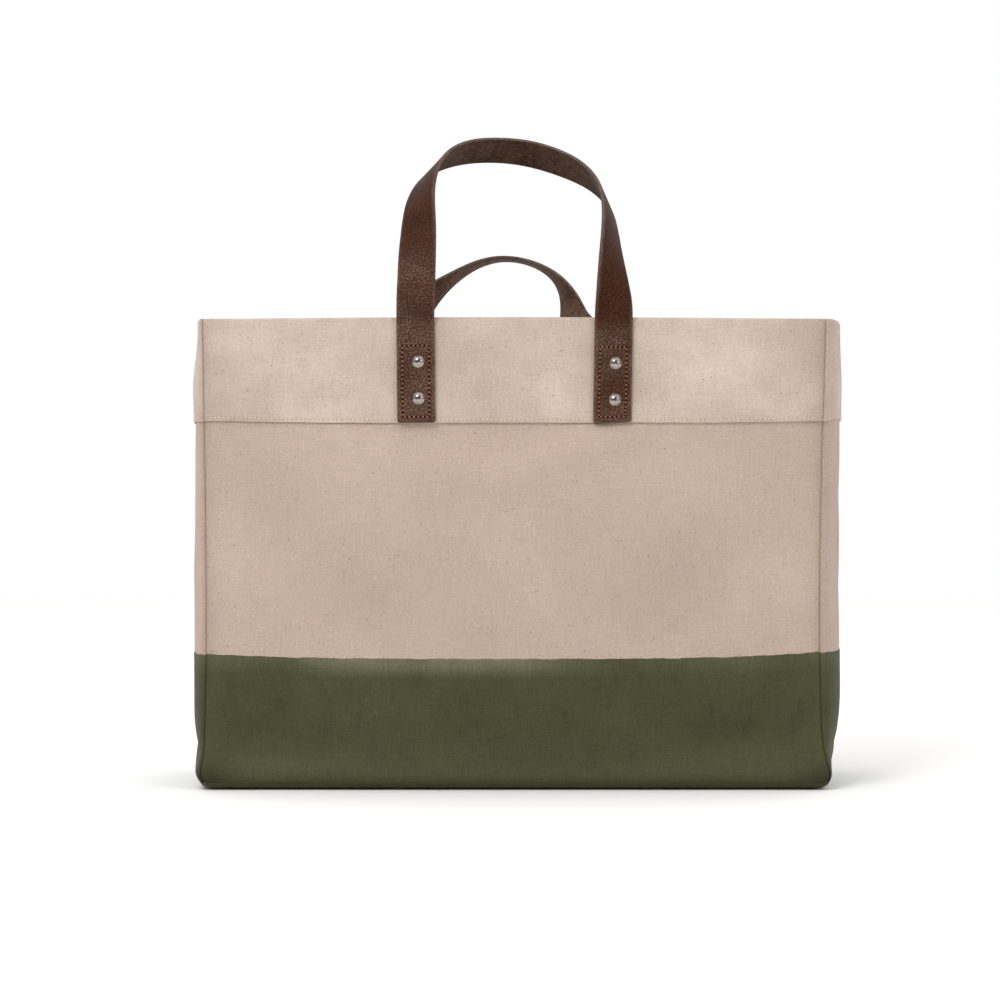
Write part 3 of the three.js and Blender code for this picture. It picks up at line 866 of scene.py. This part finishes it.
for wall in WALLS:
    p = wall_stops(wall, COAT_STEP)
    top = coat_edge(wall, p)
    share = stops(0, COAT_TOP_V, STEP) / COAT_TOP_V
    share = (share - share[0]) / (share[-1] - share[0])
    v = FINE[0] + share[:, None] * (top - FINE[0])
    thin = 0.25 + 0.75 * smooth((top - v) / (1.5 * MM))
    path = np.stack([v, COAT_GAP + COAT_THICK / 2 * thin], -1)
    coat = add_layer(f"{wall}_coat", wall, p, path, COAT_THICK / 2, COAT_LOOK, taper=thin)
    # Painted shade, strong in the lower corners and in a thin line along the bottom seam.
    corner = bell(seam_distance(wall, p), CORNER_SHADE_ACROSS) * bell(v, CORNER_SHADE_UP)
    corner = np.maximum(corner, 0.35 * bell(v, FOOT_SHADE_UP))
    # How strong the painted sheen below the edge is, across each wall.
    faded = 0.2 + 0.8 * is_face(wall) * np.exp(-((p - SHEEN_AT) / SHEEN_HALF) ** 4) + 0 * v
    mark(coat, below_edge=top - v, corner=corner, faded=faded)
    finish_piece(coat, "coating", f"{wall}_coating")

# --- underside ---

UNDER_TURNS = np.radians([43.2, 45, 48, 53, 60, 69, 79, 90])


def underside(name, first_turn, lift_in, lift_out, material):
    """The bag's bottom, from where its cloth starts to turn under: two grids, one lift apart."""
    flat = np.linspace(-1, 1, 25)[1:-1]
    turns = np.concatenate([[math.radians(first_turn)], UNDER_TURNS])
    turn = np.concatenate([turns, np.full(len(flat), np.pi / 2), turns[::-1]])
    share = np.concatenate([np.full(len(turns), -1.0), flat, np.full(len(turns), 1.0)])
    turn_x, turn_y = np.meshgrid(turn, turn)
    share_x, share_y = np.meshgrid(share, share)
    past = np.maximum(np.minimum(turn_x, turn_y) - SEAM_TURN, 0)
    seam = UNDER_GROOVE * np.exp(-past * EDGE_RADIUS / (0.5 * MM))
    grids = []
    for lift in (lift_in, lift_out):
        radius = EDGE_RADIUS + lift
        inset_x = EDGE_RADIUS - radius * np.cos(turn_x)
        inset_y = EDGE_RADIUS - radius * np.cos(turn_y)
        height = EDGE_RADIUS - radius * np.minimum(np.sin(turn_x), np.sin(turn_y)) + seam * 0.6
        swell = belly(height) * (1 - share_x ** 2)
        y = -share_y * (HALF_DEPTH - inset_y - seam * 0.4 + swell)
        reach = np.where(share_x > 0, bulge(1, height), bulge(-1, height))
        reach = reach * np.sqrt(np.clip(1 - (y / (HALF_DEPTH - inset_x)) ** 2, 0, None))
        x = share_x * (seam_x(height, share_x) - inset_x - seam * 0.4 + reach)
        grids.append(np.stack([x, y, FLOOR_SKIN + height], -1))
    return closed_sheet(name, grids[1], grids[0], grids[1][..., :2], [material])


bottom = underside("bottom_panel_cloth", 42.6, -CANVAS - 0.1 * MM, -0.1 * MM, CANVAS_LOOK)
finish_piece(bottom, "canvas", "bottom_panel")
bottom_coat = underside("bottom_coat", 41.2, 0.05 * MM, 0.55 * MM, COAT_LOOK)
# The underside has painted shade all over, and no painted sheen.
mark(bottom_coat, below_edge=0.1, corner=0.45, faded=0.0)
finish_piece(bottom_coat, "coating", "bottom_coating")

# --- stitches ---

STITCH_SIDES = 7
STITCH_PLACES = np.array([0.0, 0.1, 0.3, 0.5, 0.7, 0.9, 1.0])
THREAD_RADIUS = 0.4 * MM


def disc(middle, side, up, across, high):
    """A ring of points round each middle, across wide and high as radii along side and up."""
    turn = circle(STITCH_SIDES)[None, :, None]
    return (
        middle[:, None, :] + across * np.cos(turn) * side[:, None, :]
        + high * np.sin(turn) * up[:, None, :])


def stitch_mesh(starts, ends, ways, rise):
    """Points and faces of one short bulging thread from each start to each end, bowed along ways."""
    length = np.linalg.norm(ends - starts, axis=-1, keepdims=True)
    along = (ends - starts) / length
    side = unit(np.cross(ways, along))
    up = np.cross(along, side)
    rings = []
    for t in STITCH_PLACES:
        bow = math.sin(math.pi * t) ** 0.6
        middle = starts + along * length * t + up * (rise * (1.5 * bow - 0.6))
        size = THREAD_RADIUS * (0.55 + 0.45 * bow)
        rings.append(disc(middle, side, up, size, 0.8 * size))
    points = np.stack(rings, 1)
    index, one = ring_faces(len(STITCH_PLACES), STITCH_SIDES)
    faces = []
    for first in index.size * np.arange(len(starts)):
        faces += (one + first).tolist() + [(index[0][::-1] + first).tolist(), (index[-1] + first).tolist()]
    return points.reshape(-1, 3), faces


def hole_mesh(places, ways, radius, first):
    """A shallow dish at each place, coloured dark with painted shade."""
    ways = unit(ways)
    side = unit(np.cross(ways, [0.0, 0.0, 1.0]))
    ring = disc(places, side, np.cross(side, ways), radius, radius)
    front, back = ring + ways[:, None, :] * 0.05 * MM, ring - ways[:, None, :] * 0.25 * MM
    index, wall_faces = ring_faces(2, STITCH_SIDES)
    faces = []
    for base in first + index.size * np.arange(len(places)):
        faces += [(index[0][::-1] + base).tolist(), (index[1] + base).tolist()]
        faces += (wall_faces + base).tolist()
    return np.concatenate([front, back], 1).reshape(-1, 3), faces


def add_stitching(name, starts, ends, ways, rise, looks, slot, holes):
    """A row of stitches and the needle holes between them. looks is the thread's and the holes'."""
    points, faces = stitch_mesh(starts, ends, ways, rise)
    between = (np.roll(ends, 1, axis=0) + starts) / 2
    gaps = np.linalg.norm(between - starts, axis=1)
    between = np.where((gaps > 3 * MM)[:, None], starts, between)
    dots, rims = hole_mesh(between, ways, holes, len(points))
    kinds = [0] * len(faces) + [1] * len(rims)
    made = make_object(name, np.concatenate([points, dots]), faces + rims, looks, None, kinds)
    finish_piece(made, slot)


BAND_PITCH = 3.0 * MM
BAND_STITCH = 2.35 * MM
BAND_STITCH_INSET = 3.5 * MM
BAND_STITCH_SUNK = 0.12 * MM
for wall in WALLS:
    count = int((span(wall) - 2 * BAND_STITCH_INSET) / BAND_PITCH)
    p = first_p(wall) + BAND_STITCH_INSET + BAND_PITCH * np.arange(count)
    middle = p + 1.2 * MM
    v = hem_v(wall, p) + HEM_STITCH + 0.12 * MM * waves(p, (0.031, 0.013), 0.6)
    lift = band_lift(wall, HEM_STITCH) + CANVAS / 2 - BAND_STITCH_SUNK
    add_stitching(
        f"{wall}_band_stitching", on_wall(wall, p, v, lift), on_wall(wall, p + BAND_STITCH, v, lift),
        on_wall(wall, middle, v, 2 * MM) - on_wall(wall, middle, v), 0.3 * MM,
        [PALE_THREAD, DIMPLE_LOOK], "binding", holes=0.38 * MM)

# --- straps ---

STRAP_LIFT = GAP + CANVAS + GAP + LEATHER / 2
# How far each leg stands to the side at its sewn end and at the rim.
STRAP_FOOT_X = {-1: -65.1 * MM, 1: 65.5 * MM}
STRAP_RIM_X = {-1: -65.9 * MM, 1: 66.8 * MM}
STRAP_BELOW_BAND = 1.2 * MM
SEWN_LENGTH = 70 * MM
STRAP_CORNER = 1.8 * MM
STRAP_BEVEL = 0.75 * MM
SEWN_STEP = 0.85 * MM
FREE_STEP = 1.8 * MM
WIDTH_SAMPLE = 9 * MM
# Rivets: how far up a sewn end they sit, how far right of its middle as seen from outside, how deep and
# wide the leather is pressed in round them, and how far that lets their caps sink.
RIVET_RISE = {"upper": 40.8 * MM, "lower": 16.2 * MM}
RIVET_SHIFT = 1.7 * MM
RIVET_DENT = 0.5 * MM
DENT_WIDTH = 5.6 * MM
CAP_SUNK = RIVET_DENT - 0.12 * MM
# The loops at rest: places in millimetres along the strap's middle, and the way its width faces there.
FRONT_LOOP = [
    ((-65.7, -85.9, 325.5), (1, 0, 0)),
    ((-64.2, -79, 371), (0.9, -0.3, 0.1)),
    ((-60.8, -55, 409.5), (0.66, -0.68, 0.36)),
    ((-41, -21, 433.2), (0.4, -0.74, 0.54)),
    ((-2, 0, 439), (0.2, -0.83, 0.54)),
    ((39.5, -8, 426.8), (-0.1, -0.77, 0.58)),
    ((62.3, -40, 402), (-0.28, -0.8, 0.5)),
    ((65.6, -72, 368), (-0.53, -0.75, 0.4)),
    ((66.2, -83, 345), (-0.78, -0.58, 0.2)),
    ((66.6, -85.9, 325.5), (-0.96, -0.26, 0.03)),
]
BACK_LOOP = [
    ((-66.4, 90.2, 319.5), (1, 0, 0)),
    ((-67, 95, 324.3), (1, 0, 0)),
    ((-68.5, 102.5, 326.6), (1, 0, -0.04)),
    ((-70.5, 114, 328), (1, 0, -0.1)),
    ((-72.5, 134, 331), (0.9, 0.1, -0.3)),
    ((-74, 176, 338), (0.5, 0.25, -0.78)),
    ((-51, 207, 363), (0, 0.89, -0.42)),
    ((-11, 216, 383), (0.1, 1, -0.015)),
    ((30, 205, 370), (0.2, 0.93, -0.3)),
    ((45, 175, 338), (-0.6, 0.3, -0.7)),
    ((50.4, 134, 326.8), (-0.95, -0.2, -0.2)),
    ((57, 114, 325.4), (-1, -0.2, -0.05)),
    ((62.3, 102.5, 325.4), (-1, -0.1, 0)),
    ((64.6, 95, 323.9), (-1, 0, 0)),
    ((65.3, 90.2, 319.3), (-1, 0, 0)),
]


def smooth_curve(knots, places, at):
    """Reads a natural cubic spline through knots, which stand at places along it."""
    n, gap = len(places), np.diff(places)
    system, right = np.eye(n), np.zeros((n, knots.shape[1]))
    slope = np.diff(knots, axis=0) / gap[:, None]
    for i in range(1, n - 1):
        system[i, i - 1:i + 2] = gap[i - 1], 2 * (gap[i - 1] + gap[i]), gap[i]
        right[i] = 6 * (slope[i] - slope[i - 1])
    bend = np.linalg.solve(system, right)
    i = np.clip(np.searchsorted(places, at) - 1, 0, n - 2)
    h, a, b = gap[i][:, None], (places[i + 1] - at)[:, None], (at - places[i])[:, None]
    return (
        (bend[i] * a ** 3 + bend[i + 1] * b ** 3) / (6 * h)
        + (knots[i] / h - bend[i] * h / 6) * a + (knots[i + 1] / h - bend[i + 1] * h / 6) * b)


class Strap:
    """One leather strap from its left sewn end, round the loop, to its right sewn end."""

    def __init__(self, wall, loop):
        self.grain = 1 if wall == "front" else -1
        knots, widths = [], []
        heights = np.linspace(BAND_FOOT - STRAP_BELOW_BAND, RIM_HEIGHT - 3 * MM, 7)
        for side, order in ((-1, heights), (1, heights[::-1])):
            for height in order:
                share = (height - BAND_FOOT) / (RIM_HEIGHT - BAND_FOOT)
                x = STRAP_FOOT_X[side] + (STRAP_RIM_X[side] - STRAP_FOOT_X[side]) * share
                p = self.grain * x * SEAM_HALF_WIDTH / float(seam_x(height, x / SEAM_HALF_WIDTH))
                both = [p - WIDTH_SAMPLE, p + WIDTH_SAMPLE]
                near, far = on_wall(wall, both, height + UP_TO_V, STRAP_LIFT)
                knots.append((near + far) / 2)
                widths.append(unit((far - near) * self.grain * -side))
            if side < 0:
                knots += [np.array(place) * MM for place, _ in loop]
                widths += [np.array(way, float) for _, way in loop]
        knots, widths = np.array(knots), np.array(widths)
        places = distance_along(knots)
        fine = np.linspace(0, places[-1], 1600)
        self.line = smooth_curve(knots, places, fine)
        self.at = distance_along(self.line)
        self.length = self.at[-1]
        tangent = unit(np.gradient(self.line, self.at, axis=0))
        width = smooth_curve(widths, places, fine)
        self.width = unit(width - tangent * (width * tangent).sum(1, keepdims=True))
        self.out = np.cross(self.width, tangent) * self.grain

    def read(self, values, along):
        return np.stack([np.interp(along, self.at, values[:, k]) for k in range(3)], -1)

    def point(self, along, w, lift):
        """A point of the strap, w towards the other leg and lift out from its middle on the grain side."""
        along, w, lift = np.broadcast_arrays(*(np.asarray(a, float) for a in (along, w, lift)))
        return (
            self.read(self.line, along) + self.read(self.width, along) * w[..., None]
            + self.read(self.out, along) * lift[..., None])


# The stitched box on each sewn end: its reach from the strap's end, its half width, the distance of its
# needle holes, how deep its stitches lie, how deep and wide they draw the leather in, and where each
# starts and ends between two holes.
BOX_LOW = 3.9 * MM
BOX_HIGH = 51.6 * MM
BOX_HALF_WIDTH = 8.9 * MM
BOX_PITCH = 2.95 * MM
BOX_STITCH_SUNK = 0.22 * MM
BOX_DENT = 0.3 * MM
BOX_DENT_WIDTH = 0.85 * MM
STITCH_ENDS = (0.25, 0.75)


def box_route():
    """Needle holes around the stitched box, as along and across pairs, from its lower left corner."""
    tall, wide = BOX_HIGH - BOX_LOW, 2 * BOX_HALF_WIDTH
    rows, columns = round(tall / BOX_PITCH), round(wide / BOX_PITCH)
    up = [(BOX_LOW + tall * i / rows, -BOX_HALF_WIDTH) for i in range(rows)]
    over = [(BOX_HIGH, wide * i / columns - BOX_HALF_WIDTH) for i in range(columns)]
    down = [(BOX_HIGH - tall * i / rows, BOX_HALF_WIDTH) for i in range(rows)]
    back = [(BOX_LOW, BOX_HALF_WIDTH - wide * i / columns) for i in range(columns)]
    return np.array(up + over + down + back)


def strap_relief(near_end, w, rivet_w):
    """The leather is drawn in along its stitches, and pressed down round the rivets."""
    inside = np.minimum(
        BOX_HALF_WIDTH - np.abs(w), np.minimum(near_end - BOX_LOW, BOX_HIGH - near_end))
    outside = np.hypot(
        np.maximum(np.abs(w) - BOX_HALF_WIDTH, 0),
        np.maximum(np.maximum(BOX_LOW - near_end, near_end - BOX_HIGH), 0))
    from_line = np.where(inside > 0, inside, outside)
    dip = -BOX_DENT * bell(from_line, BOX_DENT_WIDTH)
    for rise in RIVET_RISE.values():
        dip = dip - RIVET_DENT * bell(np.hypot(near_end - rise, w - rivet_w), DENT_WIDTH)
    return dip


def mark_edges(piece, edge):
    """Gives the bevel of a strap, on both its sides, the look of its cut edge."""
    bevel = ((edge[:-1, :-1] < 0.05 * MM) | (edge[1:, 1:] < 0.05 * MM)).ravel()
    kinds = np.empty(len(piece.data.polygons), int)
    piece.data.polygons.foreach_get("material_index", kinds)
    kinds[:2 * len(bevel)][np.tile(bevel, 2)] = 2
    piece.data.polygons.foreach_set("material_index", kinds)


def add_strap(wall, loop):
    """Makes a strap whose sewn ends lie on the bag's body between two heights, and which runs round its
    handle loop.
    """
    strap = Strap(wall, loop)
    sewn = np.arange(0, SEWN_LENGTH, SEWN_STEP)
    sewn = np.concatenate([[0.02 * MM, 0.15 * MM, 0.45 * MM], sewn[1:]])
    count = int((strap.length - 2 * SEWN_LENGTH) / FREE_STEP)
    free = np.linspace(SEWN_LENGTH, strap.length - SEWN_LENGTH, count)
    along = np.concatenate([sewn, free, strap.length - sewn[::-1]])
    half = STRAP_WIDTH / 2
    rim = np.array([0, 0.1, 0.3, 0.6, 1.0]) * MM
    w = np.concatenate([rim - half, np.linspace(1.6 * MM - half, half - 1.6 * MM, 27), (half - rim)[::-1]])
    grid_along, grid_w = np.meshgrid(along, w, indexing="ij")
    near_end = np.minimum(grid_along, strap.length - grid_along)
    inward = np.clip(1 - near_end / STRAP_CORNER, 0, 1)
    across = grid_w * (1 - STRAP_CORNER / half * (1 - np.sqrt(1 - inward ** 2)))
    edge = np.minimum(half - np.abs(grid_w), near_end)
    thick = LEATHER / 2 * rounded(edge, STRAP_BEVEL, 0.5)
    rivet_w = RIVET_SHIFT * strap.grain * np.where(grid_along < strap.length / 2, 1, -1)
    dip = strap_relief(near_end, across, rivet_w)
    sway = 0.25 * MM * waves(grid_along, (0.047, 0.083), 1.2) * smooth((near_end - SEWN_LENGTH) / (30 * MM))
    outer = strap.point(grid_along, across + sway, thick + dip)
    inner = strap.point(grid_along, across + sway, -thick)
    grids = outer, inner, np.stack([grid_w, grid_along], -1), edge
    outer, inner, uv, edge = (grid[:, ::strap.grain] for grid in grids)
    piece = closed_sheet(
        f"{wall}_strap", outer, inner, uv, [GRAIN_LOOK, FLESH_LOOK, EDGE_LOOK], (0, 1, 2))
    mark_edges(piece, edge)
    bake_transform(piece)
    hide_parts(f"{wall}_left_strap_end", f"{wall}_right_strap_end", f"{wall}_handle_loop")
    return strap


STRAPS = {
    "front": add_strap("front", FRONT_LOOP),
    "back": add_strap("back", BACK_LOOP),
}

# --- rivets, box stitches and inner patches ---

PATCH = 1.5 * MM
PATCH_LIFT = -(CANVAS + GAP + PATCH / 2)
PATCH_FOOT_V = 251.7 * MM + UP_TO_V
PATCH_TOP_V = 299.5 * MM + UP_TO_V
# From a rivet's seat on the leather, through the layers, to its cap's seat inside the bag.
RIVET_REACH = LEATHER + 2 * GAP + 2 * CANVAS + GAP + PATCH + 0.2 * MM
RIVET_SIDES = 40
# Radius and height pairs, in millimetres.
CAP_PROFILE = [
    (0.0, 2.25), (0.7, 2.22), (1.5, 2.08), (2.3, 1.8), (3.0, 1.36), (3.5, 0.9), (3.8, 0.62),
    (4.05, 0.52), (4.15, 0.34), (4.08, 0.12), (3.8, 0.02), (1.7, 0.0), (1.55, -0.3), (1.55, -7.0),
    (0.0, -7.0),
]
BACK_PROFILE = [
    (0.0, 2.4), (0.9, 2.32), (1.8, 2.02), (2.7, 1.45), (3.3, 0.85), (3.6, 0.45), (3.62, 0.2),
    (3.45, 0.03), (2.1, 0.0), (1.95, 0.1), (1.95, 1.2), (0.0, 1.2),
]


def add_cap(name, profile, centre, axis, node):
    """A turned piece, whose profile runs from pole to pole, seated at centre."""
    turn = Vector(axis).normalized().to_track_quat("Z", "Y").to_matrix()
    inner = profile[1:-1]
    points = [(0, 0, profile[0][1]), (0, 0, profile[-1][1])]
    for radius, height in inner:
        points += [(radius * math.cos(a), radius * math.sin(a), height) for a in circle(RIVET_SIDES)]
    points = np.array(points) * MM @ np.array(turn).T + np.array(centre)
    rings = 2 + np.arange(len(inner) * RIVET_SIDES).reshape(-1, RIVET_SIDES)
    faces = []
    for k in range(RIVET_SIDES):
        j = (k + 1) % RIVET_SIDES
        faces.append([0, rings[0, k], rings[0, j]])
        faces += [[near[k], far[k], far[j], near[j]] for near, far in zip(rings, rings[1:])]
        faces.append([1, rings[-1, j], rings[-1, k]])
    finish_piece(make_object(name, points, faces, [NICKEL_LOOK], sharp=50), "nickel", node)


def add_rivet(strap, leg, rise, name):
    along = rise if leg < 0 else strap.length - rise
    w = -leg * RIVET_SHIFT * strap.grain
    seat = strap.point(along, w, LEATHER / 2)
    axis = unit(strap.point(along, w, 10 * MM) - seat)
    add_cap(f"{name}_cap", CAP_PROFILE, seat - axis * CAP_SUNK, axis, name)
    add_cap(f"{name}_inside_cap", BACK_PROFILE, seat - axis * RIVET_REACH, -axis, f"{name}_back_cap")


def add_box_stitches(strap, leg, name):
    route = box_route()
    if leg > 0:
        route[:, 0] = strap.length - route[:, 0]
    ahead = np.roll(route, -1, axis=0) - route
    face = LEATHER / 2 - BOX_STITCH_SUNK
    starts, ends = (strap.point(*(route + ahead * share).T, face) for share in STITCH_ENDS)
    ways = strap.point(*route.T, 5 * MM) - strap.point(*route.T, 0)
    looks = [BROWN_THREAD, HOLE_LOOK]
    add_stitching(name, starts, ends, ways, 0.26 * MM, looks, "leather", holes=0.92 * MM)


def add_patch(wall, p, name, node):
    """The leather inside the bag, behind a sewn end whose middle is at p."""
    low, high = p - STRAP_WIDTH / 2, p + STRAP_WIDTH / 2
    grid_p, grid_v = np.meshgrid(stops(low, high, 1.5 * MM), stops(PATCH_FOOT_V, PATCH_TOP_V, 1.6 * MM))
    edge = np.minimum(
        STRAP_WIDTH / 2 - np.abs(grid_p - p), np.minimum(grid_v - PATCH_FOOT_V, PATCH_TOP_V - grid_v))
    thick = PATCH / 2 * rounded(edge, 0.6 * MM, 0.4)
    outer, inner = (on_wall(wall, grid_p, grid_v, PATCH_LIFT + half) for half in (thick, -thick))
    uv = np.stack([grid_p - p, grid_v], -1)
    patch = closed_sheet(name, outer, inner, uv, [FLESH_LOOK, GRAIN_LOOK, EDGE_LOOK], (0, 1, 2))
    finish_piece(patch, "leather", node)


for wall, strap in STRAPS.items():
    for side, leg in (("left", -strap.grain), ("right", strap.grain)):
        name = f"{wall}_{side}"
        for row, rise in RIVET_RISE.items():
            add_rivet(strap, leg, rise, f"{name}_{row}_rivet")
        add_box_stitches(strap, leg, f"{name}_strap_stitching")
        p = strap.grain * (STRAP_FOOT_X[leg] + STRAP_RIM_X[leg]) / 2
        add_patch(wall, p, f"{name}_patch", f"{name}_inner_patch")

# --- seam tape ---

TAPE_DEPTH = 8 * MM
TAPE_THICK = 1.8 * MM
TAPE_FOOT = 8.6 * MM
TAPE_TOP = RIM_HEIGHT - 9 * MM
TAPE_CORNER = 12 * MM
TAPE_INSET = 4.2 * MM
TAPE_Y = -(HALF_DEPTH - 6.8 * MM)
# One long side of the tape's section, and then the same turned half round, in half depths and thicknesses.
TAPE_SIDE = np.array([(-1, -0.7), (-0.93, -1), (-0.5, -1.05), (0, -1), (0.5, -1.05), (0.93, -1), (1, -0.7)])
TAPE_SECTION = np.concatenate([TAPE_SIDE, -TAPE_SIDE])


def tape_route():
    """Down one seam, round the bottom corners and up the other seam, in X and Z."""
    heights = np.linspace(TAPE_TOP, TAPE_FOOT + TAPE_CORNER, 75)
    side = np.stack([-(seam_x(heights) - TAPE_INSET), heights], -1)
    turn = np.linspace(0, np.pi / 2, 10)[1:-1]
    corner_x = side[-1, 0] + TAPE_CORNER * (1 - np.cos(turn))
    corner = np.stack([corner_x, TAPE_FOOT + TAPE_CORNER * (1 - np.sin(turn))], -1)
    inner = side[-1, 0] + TAPE_CORNER
    across = np.linspace(inner, -inner, 90)
    foot = np.stack([across, 0 * across + TAPE_FOOT], -1)
    half = np.concatenate([side, corner])
    return np.concatenate([half, foot, half[::-1] * [-1, 1]])


def add_tape(wall):
    route = tape_route()
    step = unit(np.gradient(route, axis=0))
    wave = 0.25 * MM * waves(distance_along(route), (0.019, 0.031, 0.053), 0.9)[:, None]
    lift = TAPE_SECTION[:, 1] * TAPE_THICK / 2
    x = route[:, :1] - step[:, 1:] * (lift + wave)
    y = TAPE_Y + TAPE_SECTION[:, 0] * TAPE_DEPTH / 2 + 0.4 * wave
    z = FLOOR_SKIN + route[:, 1:] + step[:, :1] * (lift + 0.3 * wave)
    points = np.stack([x, y, z], -1)
    if wall == "back":
        points = points * [-1, -1, 1]
    index, sides = ring_faces(len(route), len(TAPE_SECTION))
    faces = sides[:, [0, 3, 2, 1]].tolist() + [index[0].tolist(), index[-1][::-1].tolist()]
    tape = make_object(f"{wall}_seam_tape", points, faces, [TAPE_LOOK])
    finish_piece(tape, "binding", f"{wall}_seam_binding")


add_tape("front")
add_tape("back")

# --- studio ---

FLOOR_HALF = 3.4
FLOOR_Z = -0.2 * MM
LIGHT_TARGET = (0, 0, 0.2)
# Each light's name, place, size and power.
LIGHTS = [
    ("key", (-1.3, -2.3, 2.6), (1.2, 1.2), 50),
    ("fill", (2.2, -2.4, 1.3), (1.6, 1.4), 14),
]
# The room's light at eye height, what its ceiling adds, and the share that is left in front of the front
# face and at its sides.
ROOM_LIGHT = 0.72
CEILING_LIGHT = 0.7
FRONT_SHARE = 0.18
SIDE_SHARE = 0.6
LENS = 95
SENSOR = 36
CAMERA_PLACE = (-9.3 * MM, -1846 * MM, 195 * MM)


def floor_material():
    g = Look("pale floor")
    cloud = g.ramp(g.noise(g.place(), 3, 2.0), 0.3, 0.7)
    return g.set(Base_Color=g.mix(cloud, (253, 253, 252), (255, 255, 254)), Roughness=0.9)


corners = [(x * FLOOR_HALF, y * FLOOR_HALF, FLOOR_Z) for x, y in ((-1, -1), (1, -1), (1, 1), (-1, 1))]
make_object("floor", corners, [[0, 1, 2, 3]], [floor_material()])


def add_light(name, place, size, power):
    lamp = bpy.data.lights.new(name, "AREA")
    lamp.shape = "RECTANGLE"
    lamp.size, lamp.size_y = size
    lamp.energy = power
    holder = bpy.data.objects.new(name, lamp)
    holder.location = place
    holder.rotation_euler = (Vector(LIGHT_TARGET) - Vector(place)).to_track_quat("-Z", "Y").to_euler()
    bpy.context.scene.collection.objects.link(holder)


for light in LIGHTS:
    add_light(*light)


def add_world():
    """An even white room, dimmer on the side that the front face looks to, and plain white to look at."""
    world = bpy.data.worlds.new("studio")
    bpy.context.scene.world = world
    world.use_nodes = True
    g = Graph(world.node_tree)
    x, y, z = g.parts(g.node("ShaderNodeTexCoord").outputs["Generated"])
    room = g.math("MULTIPLY_ADD", g.math("MAXIMUM", z, 0.0), CEILING_LIGHT, ROOM_LIGHT)
    dim = g.times(room, g.ramp(g.times(y, -1.0), 0.25, 0.92, 1.0, FRONT_SHARE))
    dim = g.times(dim, g.ramp(g.math("ABSOLUTE", x), 0.4, 0.95, 1.0, SIDE_SHARE))
    seen = g.node("ShaderNodeLightPath").outputs["Is Camera Ray"]
    background = g.tree.nodes["Background"]
    g.put(background.inputs["Strength"], g.blend(seen, dim, 1.0))
    g.put(background.inputs["Color"], (1, 1, 1, 1))


add_world()
bpy.context.scene.view_settings.view_transform = "Standard"

camera_data = bpy.data.cameras.new("camera")
camera_data.lens = LENS
camera_data.sensor_width = SENSOR
camera_data.clip_start = 0.05
camera = bpy.data.objects.new("camera", camera_data)
camera.location = CAMERA_PLACE
camera.rotation_euler = (math.pi / 2, 0, 0)
bpy.context.scene.collection.objects.link(camera)
bpy.context.scene.camera = camera
